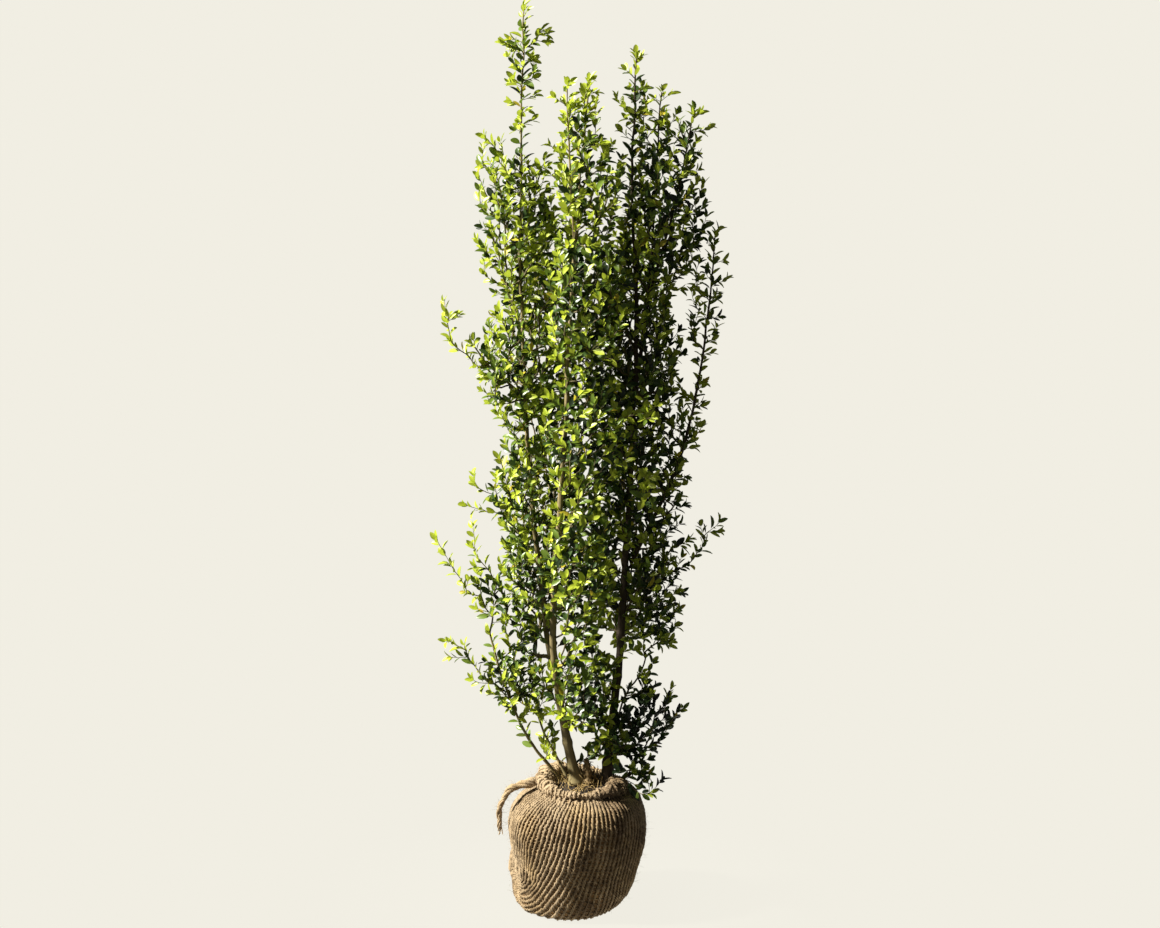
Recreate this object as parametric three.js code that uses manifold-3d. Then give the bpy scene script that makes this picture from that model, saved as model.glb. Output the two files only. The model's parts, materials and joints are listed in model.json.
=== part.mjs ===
// A young evergreen hedging shrub, lifted from the nursery field with its root ball in a knitted jute sock.
// Several upright stems leave the flat-bottomed ball and carry a narrow crown of separate masses of foliage.
// Millimetres, +Z up, +X to the right and +Y to the back. The origin is the middle of the flat underside.
import * as THREE from "three";
import { mergeVertices } from "three/addons/utils/BufferGeometryUtils.js";
import Module from "manifold-3d";

const wasm = await Module();
wasm.setup();

// Driving dimensions
const CLEARANCE = 0.4; // left between any two pieces that touch
const LIMB_SIDES = 6;
const LIMB_STEP = 105; // length of limb between two rings of vertices
const BALL_SIDES = 20;
const SOIL_SIDES = 12;
const SOCK_WALL = 4; // the knitted cloth with the soil pressed into it
const MOUTH = { radius: 74, height: 250, x: 24 }; // the sock's open top, right of the ball's middle
const SOIL_TOP = 256; // ground level
const ROOTED = SOIL_TOP + CLEARANCE; // where every stem is cut flat
const COLLAR = { radius: 79, thin: 5, thick: 16 }; // sock gathered round its mouth

// The ball's side, from the edge of the flat underside up to the mouth: radius and height
const BALL_SIDE = [
  [100, 0],
  [114, 9],
  [122, 36],
  [127, 90],
  [137, 130],
  [141, 168],
  [137, 200],
  [121, 228],
  [MOUTH.radius, MOUTH.height],
];

// Stems and shoots: the route runs from the foot to the tip, and the radius tapers between the two sizes.
// A limb with a parent starts inside it and is cut off at the parent's bark.
const LIMBS = [
  {
    name: "stem_front",
    radii: [12, 2],
    flare: 1.35,
    route: [
      [10, -8, ROOTED],
      [-24, -26, 421],
      [-38, -50, 600],
      [-21, -74, 867],
      [-5, -74, 1169],
      [10, -52, 1400],
      [36, -30, 1672],
    ],
  },
  {
    name: "stem_right",
    radii: [13, 2],
    flare: 1.3,
    route: [
      [72, 6, ROOTED],
      [86, 14, 410],
      [106, 24, 641],
      [121, 32, 930],
      [131, 30, 1248],
      [118, 22, 1443],
      [125, 12, 1714],
    ],
  },
  {
    name: "stem_left",
    parent: "stem_front",
    radii: [9, 1.6],
    route: [
      [-8, -16, 345],
      [-48, 5, 558],
      [-76, 15, 806],
      [-95, 12, 1090],
      [-100, 2, 1443],
      [-91, 0, 1804],
    ],
  },
  {
    name: "stem_centre_second",
    parent: "stem_front",
    radii: [3.6, 1.4],
    route: [
      [7, -56, 1346],
      [-2, -68, 1480],
      [-8, -62, 1660],
    ],
  },
  {
    name: "stem_right_outer",
    parent: "stem_right",
    radii: [6, 1.8],
    route: [
      [110, 26, 696],
      [167, 20, 806],
      [226, 4, 960],
      [262, -4, 1150],
      [283, 4, 1372],
    ],
  },
  {
    name: "stem_right_second",
    parent: "stem_right",
    radii: [5, 1.6],
    route: [
      [126, 34, 1049],
      [153, 40, 1248],
      [167, 40, 1480],
      [175, 34, 1652],
    ],
  },
  {
    name: "stem_right_third",
    parent: "stem_right_second",
    radii: [4, 1.5],
    route: [
      [156, 40, 1262],
      [200, 30, 1410],
      [236, 14, 1606],
    ],
  },
  {
    name: "shoot_left",
    radii: [4.5, 2.6],
    flare: 1.2,
    route: [
      [-24, 14, ROOTED],
      [-88, 6, 345],
      [-122, 0, 425],
      [-150, -4, 500],
      [-168, -6, 575],
    ],
  },
  {
    name: "shoot_left_low",
    parent: "shoot_left",
    radii: [2.5, 1.6],
    route: [
      [-121, 0, 424],
      [-140, -10, 452],
      [-158, -14, 470],
    ],
  },
  {
    name: "shoot_inner",
    radii: [4, 2.4],
    flare: 1.2,
    route: [
      [-10, 34, ROOTED],
      [-50, 36, 336],
      [-74, 36, 400],
    ],
  },
  {
    name: "bough_left",
    parent: "stem_left",
    radii: [3, 1.8],
    route: [
      [-94, 12, 1056],
      [-160, 0, 1112],
      [-196, -8, 1162],
    ],
  },
  {
    name: "bough_right",
    parent: "stem_right",
    radii: [5, 2.4],
    route: [
      [103, 23, 606],
      [140, 20, 664],
      [196, 16, 716],
    ],
  },
  {
    name: "bough_right_foot",
    parent: "stem_right",
    radii: [4, 2.4],
    route: [
      [78, 9, 320],
      [96, 0, 346],
      [112, -8, 360],
    ],
  },
  {
    name: "dry_stub",
    radii: [5, 2.5],
    flare: 1.2,
    route: [
      [38, -18, ROOTED],
      [40, -16, 280],
      [35, -14, 312],
    ],
  },
];

// Columns of foliage that share a depth. Each mass: middle in X, half width, foot and head in Z
const COLUMNS = [
  {
    name: "left",
    y: 2,
    flatness: 1.2,
    masses: {
      foot: [-104, 56, 385, 560],
      low: [-90, 60, 535, 790],
      lower: [-94, 57, 765, 1010],
      mid: [-108, 68, 985, 1245],
      upper: [-110, 62, 1220, 1545],
    },
  },
  {
    name: "centre",
    y: -66,
    flatness: 1.15,
    masses: {
      foot: [12, 58, 380, 620],
      low: [8, 76, 590, 880],
      mid: [24, 82, 850, 1130],
      upper: [30, 84, 1100, 1390],
      top: [34, 66, 1365, 1575],
    },
  },
  {
    name: "right",
    y: 16,
    flatness: 1.1,
    masses: {
      low: [166, 58, 540, 760],
      lower: [152, 76, 735, 1000],
      mid: [150, 68, 975, 1275],
      upper: [180, 82, 1250, 1560],
    },
  },
  {
    name: "back_left",
    y: 122,
    flatness: 1,
    masses: { low: [-46, 84, 560, 985], upper: [-48, 90, 955, 1420] },
  },
  {
    name: "back_right",
    y: 126,
    flatness: 1,
    masses: { low: [102, 84, 520, 900], upper: [112, 92, 870, 1385] },
  },
];

// Masses that stand out of the columns: the spires on the leading stems and the sprays on the side shoots
const SPRAYS = [
  { name: "tip_leader", foot: [-100, 0, 1560], tip: [-90, 0, 1820], girth: 36 },
  { name: "crest_left", foot: [-134, 0, 1430], tip: [-168, 0, 1566], girth: 36 },
  { name: "tip_centre_second", foot: [-4, -64, 1530], tip: [-8, -62, 1676], girth: 26 },
  { name: "tip_centre", foot: [30, -36, 1536], tip: [37, -30, 1690], girth: 28 },
  { name: "tip_right", foot: [120, 18, 1520], tip: [125, 12, 1730], girth: 33 },
  { name: "tip_right_second", foot: [168, 38, 1520], tip: [176, 34, 1668], girth: 33 },
  { name: "tip_right_third", foot: [214, 24, 1460], tip: [240, 14, 1622], girth: 36 },
  { name: "outer_right_top", foot: [254, -4, 1100], tip: [288, 4, 1392], girth: 34 },
  { name: "outer_right_low", foot: [206, 8, 905], tip: [258, -4, 1092], girth: 36 },
  { name: "bough_right_spray", foot: [186, 16, 704], tip: [301, 8, 802], girth: 27 },
  { name: "right_foot", foot: [96, -14, 330], tip: [206, -22, 466], girth: 58 },
  { name: "right_hanging", foot: [136, -42, 330], tip: [190, -58, 218], girth: 24 },
  { name: "shoot_left_mid", foot: [-166, -6, 566], tip: [-192, -8, 740], girth: 30 },
  { name: "shoot_left_top", foot: [-192, -8, 735], tip: [-196, -8, 902], girth: 24 },
  { name: "shoot_left_side", foot: [-200, -10, 690], tip: [-272, -14, 770], girth: 18 },
  { name: "shoot_left_low_spray", foot: [-150, -12, 462], tip: [-256, -30, 568], girth: 25 },
  { name: "bough_left_spray", foot: [-186, -6, 1146], tip: [-254, -12, 1248], girth: 25 },
  { name: "bough_left_second", foot: [-170, -8, 1100], tip: [-238, -10, 1166], girth: 18 },
];

// Colours and finishes
const JUTE = new THREE.MeshStandardMaterial({ color: 0xa58f66, roughness: 0.95, metalness: 0 });
const SOIL = new THREE.MeshStandardMaterial({ color: 0x3a2a1c, roughness: 1, metalness: 0 });
const STRAW = new THREE.MeshStandardMaterial({ color: 0xa8752f, roughness: 0.9, metalness: 0 });
const BARK = new THREE.MeshStandardMaterial({ color: 0x6d6440, roughness: 0.8, metalness: 0 });
const FOLIAGE = new THREE.MeshStandardMaterial({ color: 0x4f7a1c, roughness: 0.5, metalness: 0 });

// Solids and geometries

function solidOf(geometry) {
  const bare = new THREE.BufferGeometry()
    .setIndex(geometry.index)
    .setAttribute("position", geometry.getAttribute("position"));
  const merged = mergeVertices(bare, 1e-3);
  return new wasm.Manifold(
    new wasm.Mesh({
      numProp: 3,
      vertProperties: merged.attributes.position.array,
      triVerts: new Uint32Array(merged.index.array),
    }),
  );
}

function geometryOf(solid) {
  const { numProp, numVert, vertProperties, triVerts } = solid.getMesh();
  const points = new Float32Array(numVert * 3);
  for (let i = 0; i < numVert; i++) {
    points.set(vertProperties.subarray(i * numProp, i * numProp + 3), i * 3);
  }
  return new THREE.BufferGeometry()
    .setAttribute("position", new THREE.BufferAttribute(points, 3))
    .setIndex(new THREE.BufferAttribute(triVerts, 1));
}

// A cut can leave crumbs beside the piece itself
function largestPiece(solid) {
  const pieces = solid.decompose();
  return pieces.reduce((best, piece) => (piece.volume() > best.volume() ? piece : best));
}

// Moves every vertex of a geometry to where the rule puts it
function reshape(geometry, rule) {
  const position = geometry.getAttribute("position");
  const point = new THREE.Vector3();
  for (let i = 0; i < position.count; i++) {
    point.fromBufferAttribute(position, i);
    rule(point);
    position.setXYZ(i, point.x, point.y, point.z);
  }
  return geometry;
}

const smooth = (value, low, high) => THREE.MathUtils.smoothstep(value, low, high);

// Root ball

// The ball leans a little, and its mouth sits to the right of its foot
const ballMiddle = (z) =>
  -8 + 8 * smooth(z, 0, 36) + 9 * smooth(z, 30, 100) + (MOUTH.x - 9) * smooth(z, 180, 250);

// Share by which the ball's radius departs from its side's: broad lobes, small ones and a hollow on the left
function ballUnevenness(angle, z) {
  const fromLeft = Math.PI - Math.abs(angle);
  const hollow = Math.exp(-((fromLeft / 0.5) ** 2) - ((z - 84) / 26) ** 2);
  return 0.016 * Math.sin(3 * angle + z / 60) + 0.012 * Math.sin(5 * angle - z / 35) - 0.03 * hollow;
}

// A lathed profile turned to stand along Z and given the ball's lean and unevenness
function ballSolid(profile, sides = BALL_SIDES) {
  const points = profile.map(([radius, z]) => new THREE.Vector2(radius, z));
  const lathe = new THREE.LatheGeometry(points, sides).rotateX(Math.PI / 2);
  return solidOf(
    reshape(lathe, (p) => {
      const angle = Math.atan2(p.y, p.x);
      const share = 1 + ballUnevenness(angle, p.z);
      p.x = p.x * share + ballMiddle(p.z);
      p.y *= share;
    }),
  );
}

// The ball's side moved inwards by a distance, square to itself
function sideInwards(distance) {
  return BALL_SIDE.map(([radius, z], i) => {
    const [r0, z0] = BALL_SIDE[Math.max(i - 1, 0)];
    const [r1, z1] = BALL_SIDE[Math.min(i + 1, BALL_SIDE.length - 1)];
    const length = Math.hypot(r1 - r0, z1 - z0);
    const inwards = radius - (distance * (z1 - z0)) / length;
    const upwards = z + (distance * (r1 - r0)) / length;
    return [inwards, Math.max(upwards, distance)];
  });
}

// The soil fills the sock and stands a little proud of it in the open mouth
function soilSolid(margin) {
  const depth = SOCK_WALL + CLEARANCE - margin;
  const edge = MOUTH.radius - SOCK_WALL - 4 + margin;
  const top = SOIL_TOP + margin;
  const side = sideInwards(depth).filter((_, row) => row % 2 === 0);
  return ballSolid([[0, depth], ...side, [edge, top - 2], [0, top]], SOIL_SIDES);
}

function sockSolid(margin) {
  const outside = ballSolid([[0, -margin], ...sideInwards(-margin), [0, MOUTH.height + margin]]);
  return margin ? outside : outside.subtract(soilSolid(CLEARANCE));
}

function strawSolid(margin) {
  const foot = SOIL_TOP + CLEARANCE - margin;
  const profile = [
    [0, foot],
    [58, foot],
    [38, foot + 11],
    [0, foot + 11],
  ];
  return ballSolid(profile, 10);
}

// Half the thickness of the gathered collar at an angle: a bunch at the back left, a knot at the front right
function collarThickness(angle) {
  const bump = (at, width) => Math.exp((Math.cos(angle - at) - 1) / width ** 2);
  const most = Math.max(bump(2.75, 0.95), 0.9 * bump(-0.62, 0.5));
  return COLLAR.thin + (COLLAR.thick - COLLAR.thin) * most;
}

function collarSolid(margin) {
  const torus = new THREE.TorusGeometry(COLLAR.radius, COLLAR.thin, 5, 20);
  return solidOf(
    reshape(torus, (p) => {
      const angle = Math.atan2(p.y, p.x);
      const round = Math.atan2(p.z, Math.hypot(p.x, p.y) - COLLAR.radius);
      const half = collarThickness(angle) * (1 + 0.1 * Math.sin(9 * angle)) + margin;
      const reach = COLLAR.radius + half * Math.cos(round);
      const height = MOUTH.height + half * (0.75 + Math.sin(round));
      p.set(MOUTH.x + reach * Math.cos(angle), reach * Math.sin(angle), height);
    }),
  );
}

// Limbs

// A tapered limb along a smooth route, grown by a margin on every side where it is to cut its neighbours
function limbGeometry({ route, radii, flare = 1 }, margin) {
  const curve = new THREE.CatmullRomCurve3(route.map((p) => new THREE.Vector3(...p)));
  const steps = Math.max(3, Math.round(curve.getLength() / LIMB_STEP));
  const cylinder = new THREE.CylinderGeometry(1, 1, 1, LIMB_SIDES, steps);
  const middle = new THREE.Vector3();
  const ahead = new THREE.Vector3();
  return reshape(cylinder, (p) => {
    const share = THREE.MathUtils.clamp(p.y + 0.5, 0, 1);
    const rooted = flare > 1 && share < 0.02;
    curve.getPointAt(share, middle);
    curve.getTangentAt(share, ahead);
    // The foot of a limb that stands on the soil is cut level
    if (rooted) ahead.set(0, 0, 1);
    const across = new THREE.Vector3(0, 1, 0).cross(ahead).normalize();
    const back = new THREE.Vector3().crossVectors(ahead, across);
    const swell = 1 + (flare - 1) * Math.exp(-share * curve.getLength() * 0.04);
    const radius = THREE.MathUtils.lerp(radii[0], radii[1], share ** 0.8) * swell + margin;
    const beyond = share < 1e-6 ? -margin : share > 1 - 1e-6 ? margin : 0;
    const sideways = [p.x * radius, -p.z * radius];
    p.copy(middle)
      .addScaledVector(across, sideways[0])
      .addScaledVector(back, sideways[1])
      .addScaledVector(ahead, beyond);
  });
}

// The sock's loose end, thrown over the left shoulder of the ball
const TAIL = {
  route: [
    [-70, -8, 262],
    [-98, -12, 250],
    [-124, -16, 232],
    [-141, -18, 205],
    [-146, -18, 172],
    [-152, -18, 138],
  ],
  radii: [9, 4],
};

// Foliage

// A run of numbers from 0 to 1 that is the same every time
function seeded(seed) {
  let state = seed * 7919 + 104729;
  return () => {
    state = (state * 16807) % 2147483647;
    return state / 2147483647;
  };
}

// One uneven, spindle-shaped mass round the line from its foot to its tip
function massGeometry({ foot, tip, girth, depth = girth, seed }, margin) {
  const random = seeded(seed);
  const waves = Array.from({ length: 4 }, () => ({
    way: new THREE.Vector3(random() - 0.5, random() - 0.5, random() - 0.5).normalize(),
    pace: 3 + 3 * random(),
    phase: 6.3 * random(),
  }));
  const low = new THREE.Vector3(...foot);
  const rise = new THREE.Vector3(...tip).sub(low);
  const ahead = rise.clone().normalize();
  const across = new THREE.Vector3(0, 1, 0).cross(ahead).normalize();
  const back = new THREE.Vector3().crossVectors(ahead, across);
  return reshape(new THREE.IcosahedronGeometry(1, 1), (p) => {
    const bumps = waves.reduce((sum, { way, pace, phase }) => sum + Math.sin(pace * p.dot(way) + phase), 0);
    const swell = 1 + 0.07 * bumps;
    // Blunt ends: the side stays full for longer than a plain ellipsoid's
    const share = 0.5 + 0.5 * Math.sign(p.z) * Math.abs(p.z) ** 1.15;
    const side = swell * Math.max(Math.hypot(p.x, p.y), 0.01) ** -0.35;
    const x = p.x * (side * girth + margin);
    const y = p.y * (side * depth + margin);
    const end = p.z * margin;
    p.copy(low)
      .addScaledVector(rise, share)
      .addScaledVector(across, x)
      .addScaledVector(back, y)
      .addScaledVector(ahead, end);
  });
}

function columnMasses() {
  return COLUMNS.flatMap(({ name, y, flatness, masses }) =>
    Object.entries(masses).map(([storey, [x, girth, floor, ceiling]]) => ({
      name: `${name}_${storey}`,
      foot: [x, y, floor],
      tip: [x, y, ceiling],
      girth,
      depth: girth * flatness,
    })),
  );
}

// Every piece that is already in place, each with the grown form that cuts what comes after it
const pieces = [];
const group = new THREE.Group();

function place(name, material, make, cutters = pieces) {
  let solid = make(0);
  for (const { grown } of cutters) solid = solid.subtract(grown);
  if (cutters.length) solid = largestPiece(solid);
  pieces.push({ name, grown: make(CLEARANCE) });
  const mesh = new THREE.Mesh(geometryOf(solid), material);
  mesh.name = name;
  group.add(mesh);
}

place("jute_sock", JUTE, sockSolid);
place("soil", SOIL, soilSolid, []);
for (const limb of LIMBS) {
  const material = limb.name === "dry_stub" ? STRAW : BARK;
  place(limb.name, material, (margin) => solidOf(limbGeometry(limb, margin)));
}
place("jute_collar", JUTE, collarSolid);
place("straw_litter", STRAW, strawSolid);
place("jute_tail", JUTE, (margin) => solidOf(limbGeometry(TAIL, margin)));
[...SPRAYS, ...columnMasses()].forEach((mass, index) => {
  place(mass.name, FOLIAGE, (margin) => solidOf(massGeometry({ ...mass, seed: index + 1 }, margin)));
});

export default group;
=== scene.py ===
"""Grows an evergreen hedging shrub on its jute-wrapped root ball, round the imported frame."""

import cmath
import json
import math
import random

import bmesh
import bpy
import numpy as np
from mathutils import Matrix, Vector, noise
from mathutils.bvhtree import BVHTree

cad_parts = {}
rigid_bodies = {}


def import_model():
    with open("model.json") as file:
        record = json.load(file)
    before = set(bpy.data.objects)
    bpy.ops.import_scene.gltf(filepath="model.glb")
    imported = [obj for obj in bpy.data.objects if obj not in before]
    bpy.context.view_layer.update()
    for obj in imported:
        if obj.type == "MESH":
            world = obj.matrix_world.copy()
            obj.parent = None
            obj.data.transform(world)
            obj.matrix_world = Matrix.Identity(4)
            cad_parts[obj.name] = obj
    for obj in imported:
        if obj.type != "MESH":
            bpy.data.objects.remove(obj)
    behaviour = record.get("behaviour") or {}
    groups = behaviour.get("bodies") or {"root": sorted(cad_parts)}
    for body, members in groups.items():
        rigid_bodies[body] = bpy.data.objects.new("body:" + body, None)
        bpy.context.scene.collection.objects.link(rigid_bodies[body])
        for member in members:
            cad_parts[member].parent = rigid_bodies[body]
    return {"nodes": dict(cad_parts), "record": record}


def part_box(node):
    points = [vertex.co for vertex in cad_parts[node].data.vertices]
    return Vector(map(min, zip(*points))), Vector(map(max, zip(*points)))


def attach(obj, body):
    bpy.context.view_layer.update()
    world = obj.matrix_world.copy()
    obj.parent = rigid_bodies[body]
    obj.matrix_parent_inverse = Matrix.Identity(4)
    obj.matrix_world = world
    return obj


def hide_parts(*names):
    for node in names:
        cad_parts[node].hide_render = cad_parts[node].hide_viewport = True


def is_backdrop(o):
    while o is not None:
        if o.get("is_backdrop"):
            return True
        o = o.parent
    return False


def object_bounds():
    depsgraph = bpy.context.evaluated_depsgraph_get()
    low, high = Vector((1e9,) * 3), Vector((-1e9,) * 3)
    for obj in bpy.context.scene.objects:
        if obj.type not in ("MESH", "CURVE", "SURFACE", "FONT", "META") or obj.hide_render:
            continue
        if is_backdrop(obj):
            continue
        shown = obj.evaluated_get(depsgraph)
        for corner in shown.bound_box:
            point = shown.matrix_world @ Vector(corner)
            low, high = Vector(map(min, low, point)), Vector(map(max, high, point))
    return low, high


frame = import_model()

bl_info = {
    "name": "Sapling with root ball",
    "version": (1, 0, 0),
    "blender": (4, 5, 0),
    "location": "3D View > Sidebar > Sapling",
    "description": "Grows an evergreen shrub on its knitted jute root ball",
    "category": "Add Mesh",
}

CAD_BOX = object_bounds()
BODY = "root"
NODES = frame["nodes"]
SLOT_OF = {part["node"]: part["material_slot"] for part in frame["record"]["subparts"]}
MASSES = sorted(name for name in NODES if SLOT_OF[name] == "foliage")
LIMBS = sorted(name for name in NODES if SLOT_OF[name] == "bark")
SOIL_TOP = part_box("soil")[1].z
UP = Vector((0, 0, 1))
GOLDEN_ANGLE = math.radians(137.5)
SHOWN_THICKNESS = 0.8
EYE = Vector((0.0167, -3.6, 1.5))
AIM = Vector((0.0167, 0, 0.92))
LENS = 56.56
SUNLIGHT = Vector((0.775, 0.085, -0.66))
STAIN = (0.085, -0.075, 0.262)

# Thin sprays that stand out: where each is in metres, how far it reaches and how many buds it has.
THIN_SPRAYS = (
    (0.062, -0.034, 0.352, 0.030, 7),
    (0.050, -0.030, 0.410, 0.030, 6),
    (-0.048, 0.020, 1.510, 0.044, 12),
    (-0.058, 0.030, 1.445, 0.040, 9),
    (-0.030, 0.030, 1.400, 0.040, 8),
    (0.068, -0.020, 0.500, 0.034, 8),
    (0.118, -0.030, 0.560, 0.030, 6),
    (0.126, -0.010, 0.450, 0.030, 6),
    (0.181, -0.010, 0.585, 0.042, 14),
    (0.141, -0.020, 0.500, 0.034, 8),
    (0.096, -0.040, 0.385, 0.046, 22),
    (0.114, -0.034, 0.325, 0.036, 14),
    (0.064, -0.036, 0.372, 0.040, 15),
    (0.045, -0.030, 0.445, 0.050, 20),
    (0.034, 0.020, 0.330, 0.026, 5),
    (-0.058, -0.010, 0.430, 0.044, 15),
    (-0.052, 0.000, 0.345, 0.030, 6),
    (-0.100, -0.010, 0.490, 0.036, 10),
    (0.130, -0.030, 0.290, 0.030, 9),
    (-0.064, 0.000, 1.750, 0.018, 5),
    (-0.118, 0.000, 1.738, 0.016, 4),
    (0.078, -0.124, 0.985, 0.028, 6),
    (0.140, -0.122, 1.045, 0.026, 5),
    (0.150, -0.122, 0.905, 0.024, 5),
    (0.035, -0.120, 0.760, 0.036, 8),
)


# ---------------------------------------------------------------- settings


def length(name, description, default):
    return bpy.props.FloatProperty(
        name=name,
        description=description,
        default=default,
        min=0,
        precision=4,
        subtype="DISTANCE",
        unit="LENGTH",
    )


def colour(name, description, default):
    return bpy.props.FloatVectorProperty(
        name=name, description=description, default=default, size=3, min=0, max=1, subtype="COLOR"
    )


class SaplingPlant(bpy.types.PropertyGroup):
    seed: bpy.props.IntProperty(
        name="Seed", description="Starts every random choice of the growth", default=11
    )
    outer_gap: length("Outer gap", "Distance between shoots at the crown's surface", 0.0255)
    inner_gap: length("Inner gap", "Distance between shoots deep inside the crown", 0.031)
    thinning: bpy.props.FloatProperty(
        name="Thinning", description="Share of the buds left out of thin spires", default=0.93, min=0, max=1
    )
    step: length("Step", "Length of twig between two of its points", 0.011)
    tip_girth: length("Tip girth", "Radius of the youngest twigs", 0.0006)
    leafy_girth: length("Leafy girth", "Radius up to which wood still bears leaves", 0.0017)
    leaf_gap: length("Leaf gap", "Distance between two leaves along a shoot", 0.0077)
    leaf_length: length("Leaf length", "Length of a full-grown leaf", 0.0268)
    leaf_width: length("Leaf width", "Width of a full-grown leaf", 0.0126)


class SaplingBall(bpy.types.PropertyGroup):
    wales: bpy.props.IntProperty(
        name="Wales", description="Ribs of the knitting, each down the front and up the back", default=45
    )
    courses: bpy.props.IntProperty(
        name="Courses", description="Rows of thread that cross the ribs", default=104
    )
    stitch_pitch: length("Stitch pitch", "Distance between two stitches along a rib", 0.0058)
    stitch_width: length("Stitch width", "Width of the yarn of one stitch", 0.0046)
    stitch_slant: bpy.props.FloatProperty(
        name="Stitch slant",
        description="Turn of each stitch from its rib",
        default=math.radians(25),
        subtype="ANGLE",
    )
    fibre_length: length("Fibre length", "Length of a loose jute hair", 0.013)
    fibres: bpy.props.IntProperty(
        name="Fibres", description="Loose hairs to a square metre of cloth", default=5200
    )


class SaplingColours(bpy.types.PropertyGroup):
    # The leaf tints stand partly for light and shade: lime for leaves in full sun, fresh and mature between,
    # and deep for old leaves and for leaves in the crown's painted shade.
    lime: colour("Lime leaves", "Newest leaves in full light", (0.40, 0.475, 0.042))
    fresh: colour("Fresh leaves", "Young leaves", (0.130, 0.197, 0.025))
    mature: colour("Mature leaves", "Full-grown leaves", (0.040, 0.075, 0.018))
    deep: colour("Deep leaves", "Old leaves inside the crown", (0.017, 0.028, 0.013))
    yellow: colour("Yellow leaves", "The few leaves about to drop", (0.50, 0.42, 0.035))
    bark_pale: colour("Pale bark", "Olive skin of the front stem", (0.232, 0.183, 0.078))
    # Dark bark; on the right stem its darkness is partly painted shade.
    bark_dark: colour("Dark bark", "Brown skin of the old stem", (0.045, 0.030, 0.018))
    jute_pale: colour("Pale jute", "Clean, sunlit yarn", (0.315, 0.235, 0.142))
    jute_dark: colour("Dark jute", "Yarn with soil rubbed in", (0.084, 0.047, 0.016))
    soil: colour("Soil", "Dark crumbly soil", (0.020, 0.013, 0.008))
    straw: colour("Straw", "Dry stalks in the sock's mouth", (0.29, 0.195, 0.066))
    floor: colour("Floor", "Pale studio floor", (0.008, 0.0078, 0.007))
    backdrop: colour("Backdrop", "Plain surroundings", (0.879, 0.855, 0.768))


# ---------------------------------------------------------------- shader recipes


class Value:
    """A shader socket that takes part in Python arithmetic by adding Math nodes."""

    def __init__(self, recipe, socket):
        self.recipe = recipe
        self.socket = socket

    def maths(self, operation, *others):
        return self.recipe.node("ShaderNodeMath", {"operation": operation}, dict(enumerate((self, *others))))

    def __add__(self, other):
        return self.maths("ADD", other)

    __radd__ = __add__

    def __sub__(self, other):
        return self.maths("SUBTRACT", other)

    def __rsub__(self, other):
        return self.recipe.node("ShaderNodeMath", {"operation": "SUBTRACT"}, {0: other, 1: self})

    def __mul__(self, other):
        return self.maths("MULTIPLY", other)

    __rmul__ = __mul__

    def clamped(self):
        return self.recipe.node("ShaderNodeClamp", {}, {0: self})


class Recipe:
    """One material and the nodes it is mixed from."""

    def __init__(self, name):
        self.material = bpy.data.materials.new(name)
        self.material.use_nodes = True
        self.tree = self.material.node_tree
        self.tree.nodes.clear()
        self.output = self.tree.nodes.new("ShaderNodeOutputMaterial")

    def node(self, kind, settings=None, inputs=None, output=0):
        node = self.tree.nodes.new(kind)
        for key, value in (settings or {}).items():
            setattr(node, key, value)
        for key, value in (inputs or {}).items():
            socket = node.inputs[key]
            if isinstance(value, Value):
                self.tree.links.new(value.socket, socket)
            else:
                socket.default_value = value
        return Value(self, node.outputs[output])

    def place(self, scale=(1, 1, 1)):
        coordinates = self.node("ShaderNodeTexCoord", output="Object")
        return self.node("ShaderNodeMapping", {}, {"Vector": coordinates, "Scale": scale})

    def noise(self, vector, scale, detail=3.0, roughness=0.55):
        inputs = {"Vector": vector, "Scale": scale, "Detail": detail, "Roughness": roughness}
        return self.node("ShaderNodeTexNoise", {}, inputs, "Fac")

    def mix(self, factor, first, second):
        inputs = {0: factor, 6: self.tint(first), 7: self.tint(second)}
        return self.node("ShaderNodeMix", {"data_type": "RGBA"}, inputs, 2)

    @staticmethod
    def tint(value):
        return value if isinstance(value, Value) else (*value[:3], 1)

    def bump(self, height, distance, strength=1.0):
        inputs = {"Height": height, "Distance": distance, "Strength": strength}
        return self.node("ShaderNodeBump", {}, inputs)

    def principled(self, inputs):
        return self.node("ShaderNodeBsdfPrincipled", {}, inputs)

    def finish(self, shader):
        self.tree.links.new(shader.socket, self.output.inputs["Surface"])
        return self.material


def times(tint, share):
    return tuple(min(1, channel * share) for channel in tint)


def leaf_material(name, tint, roughness, glow):
    """Leathery leaf that drifts a little in colour from spray to spray and lets some light through."""
    recipe = Recipe(name)
    drift = recipe.noise(recipe.place(), 26, 2.0)
    base = recipe.mix(drift, times(tint, 0.72), times(tint, 1.28))
    gloss = recipe.principled(
        # Painted shade: the right stem gets a darker copy of the bark, partly its own brown and partly the
        # crown's shadow painted on.
        {"Base Color": base, "Roughness": roughness, "Specular IOR Level": 0.46}
    )
    through = recipe.node("ShaderNodeBsdfTranslucent", {}, {"Color": recipe.tint(times(tint, 1.5))})
    return recipe.finish(recipe.node("ShaderNodeMixShader", {}, {0: glow, 1: gloss, 2: through}))


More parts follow.
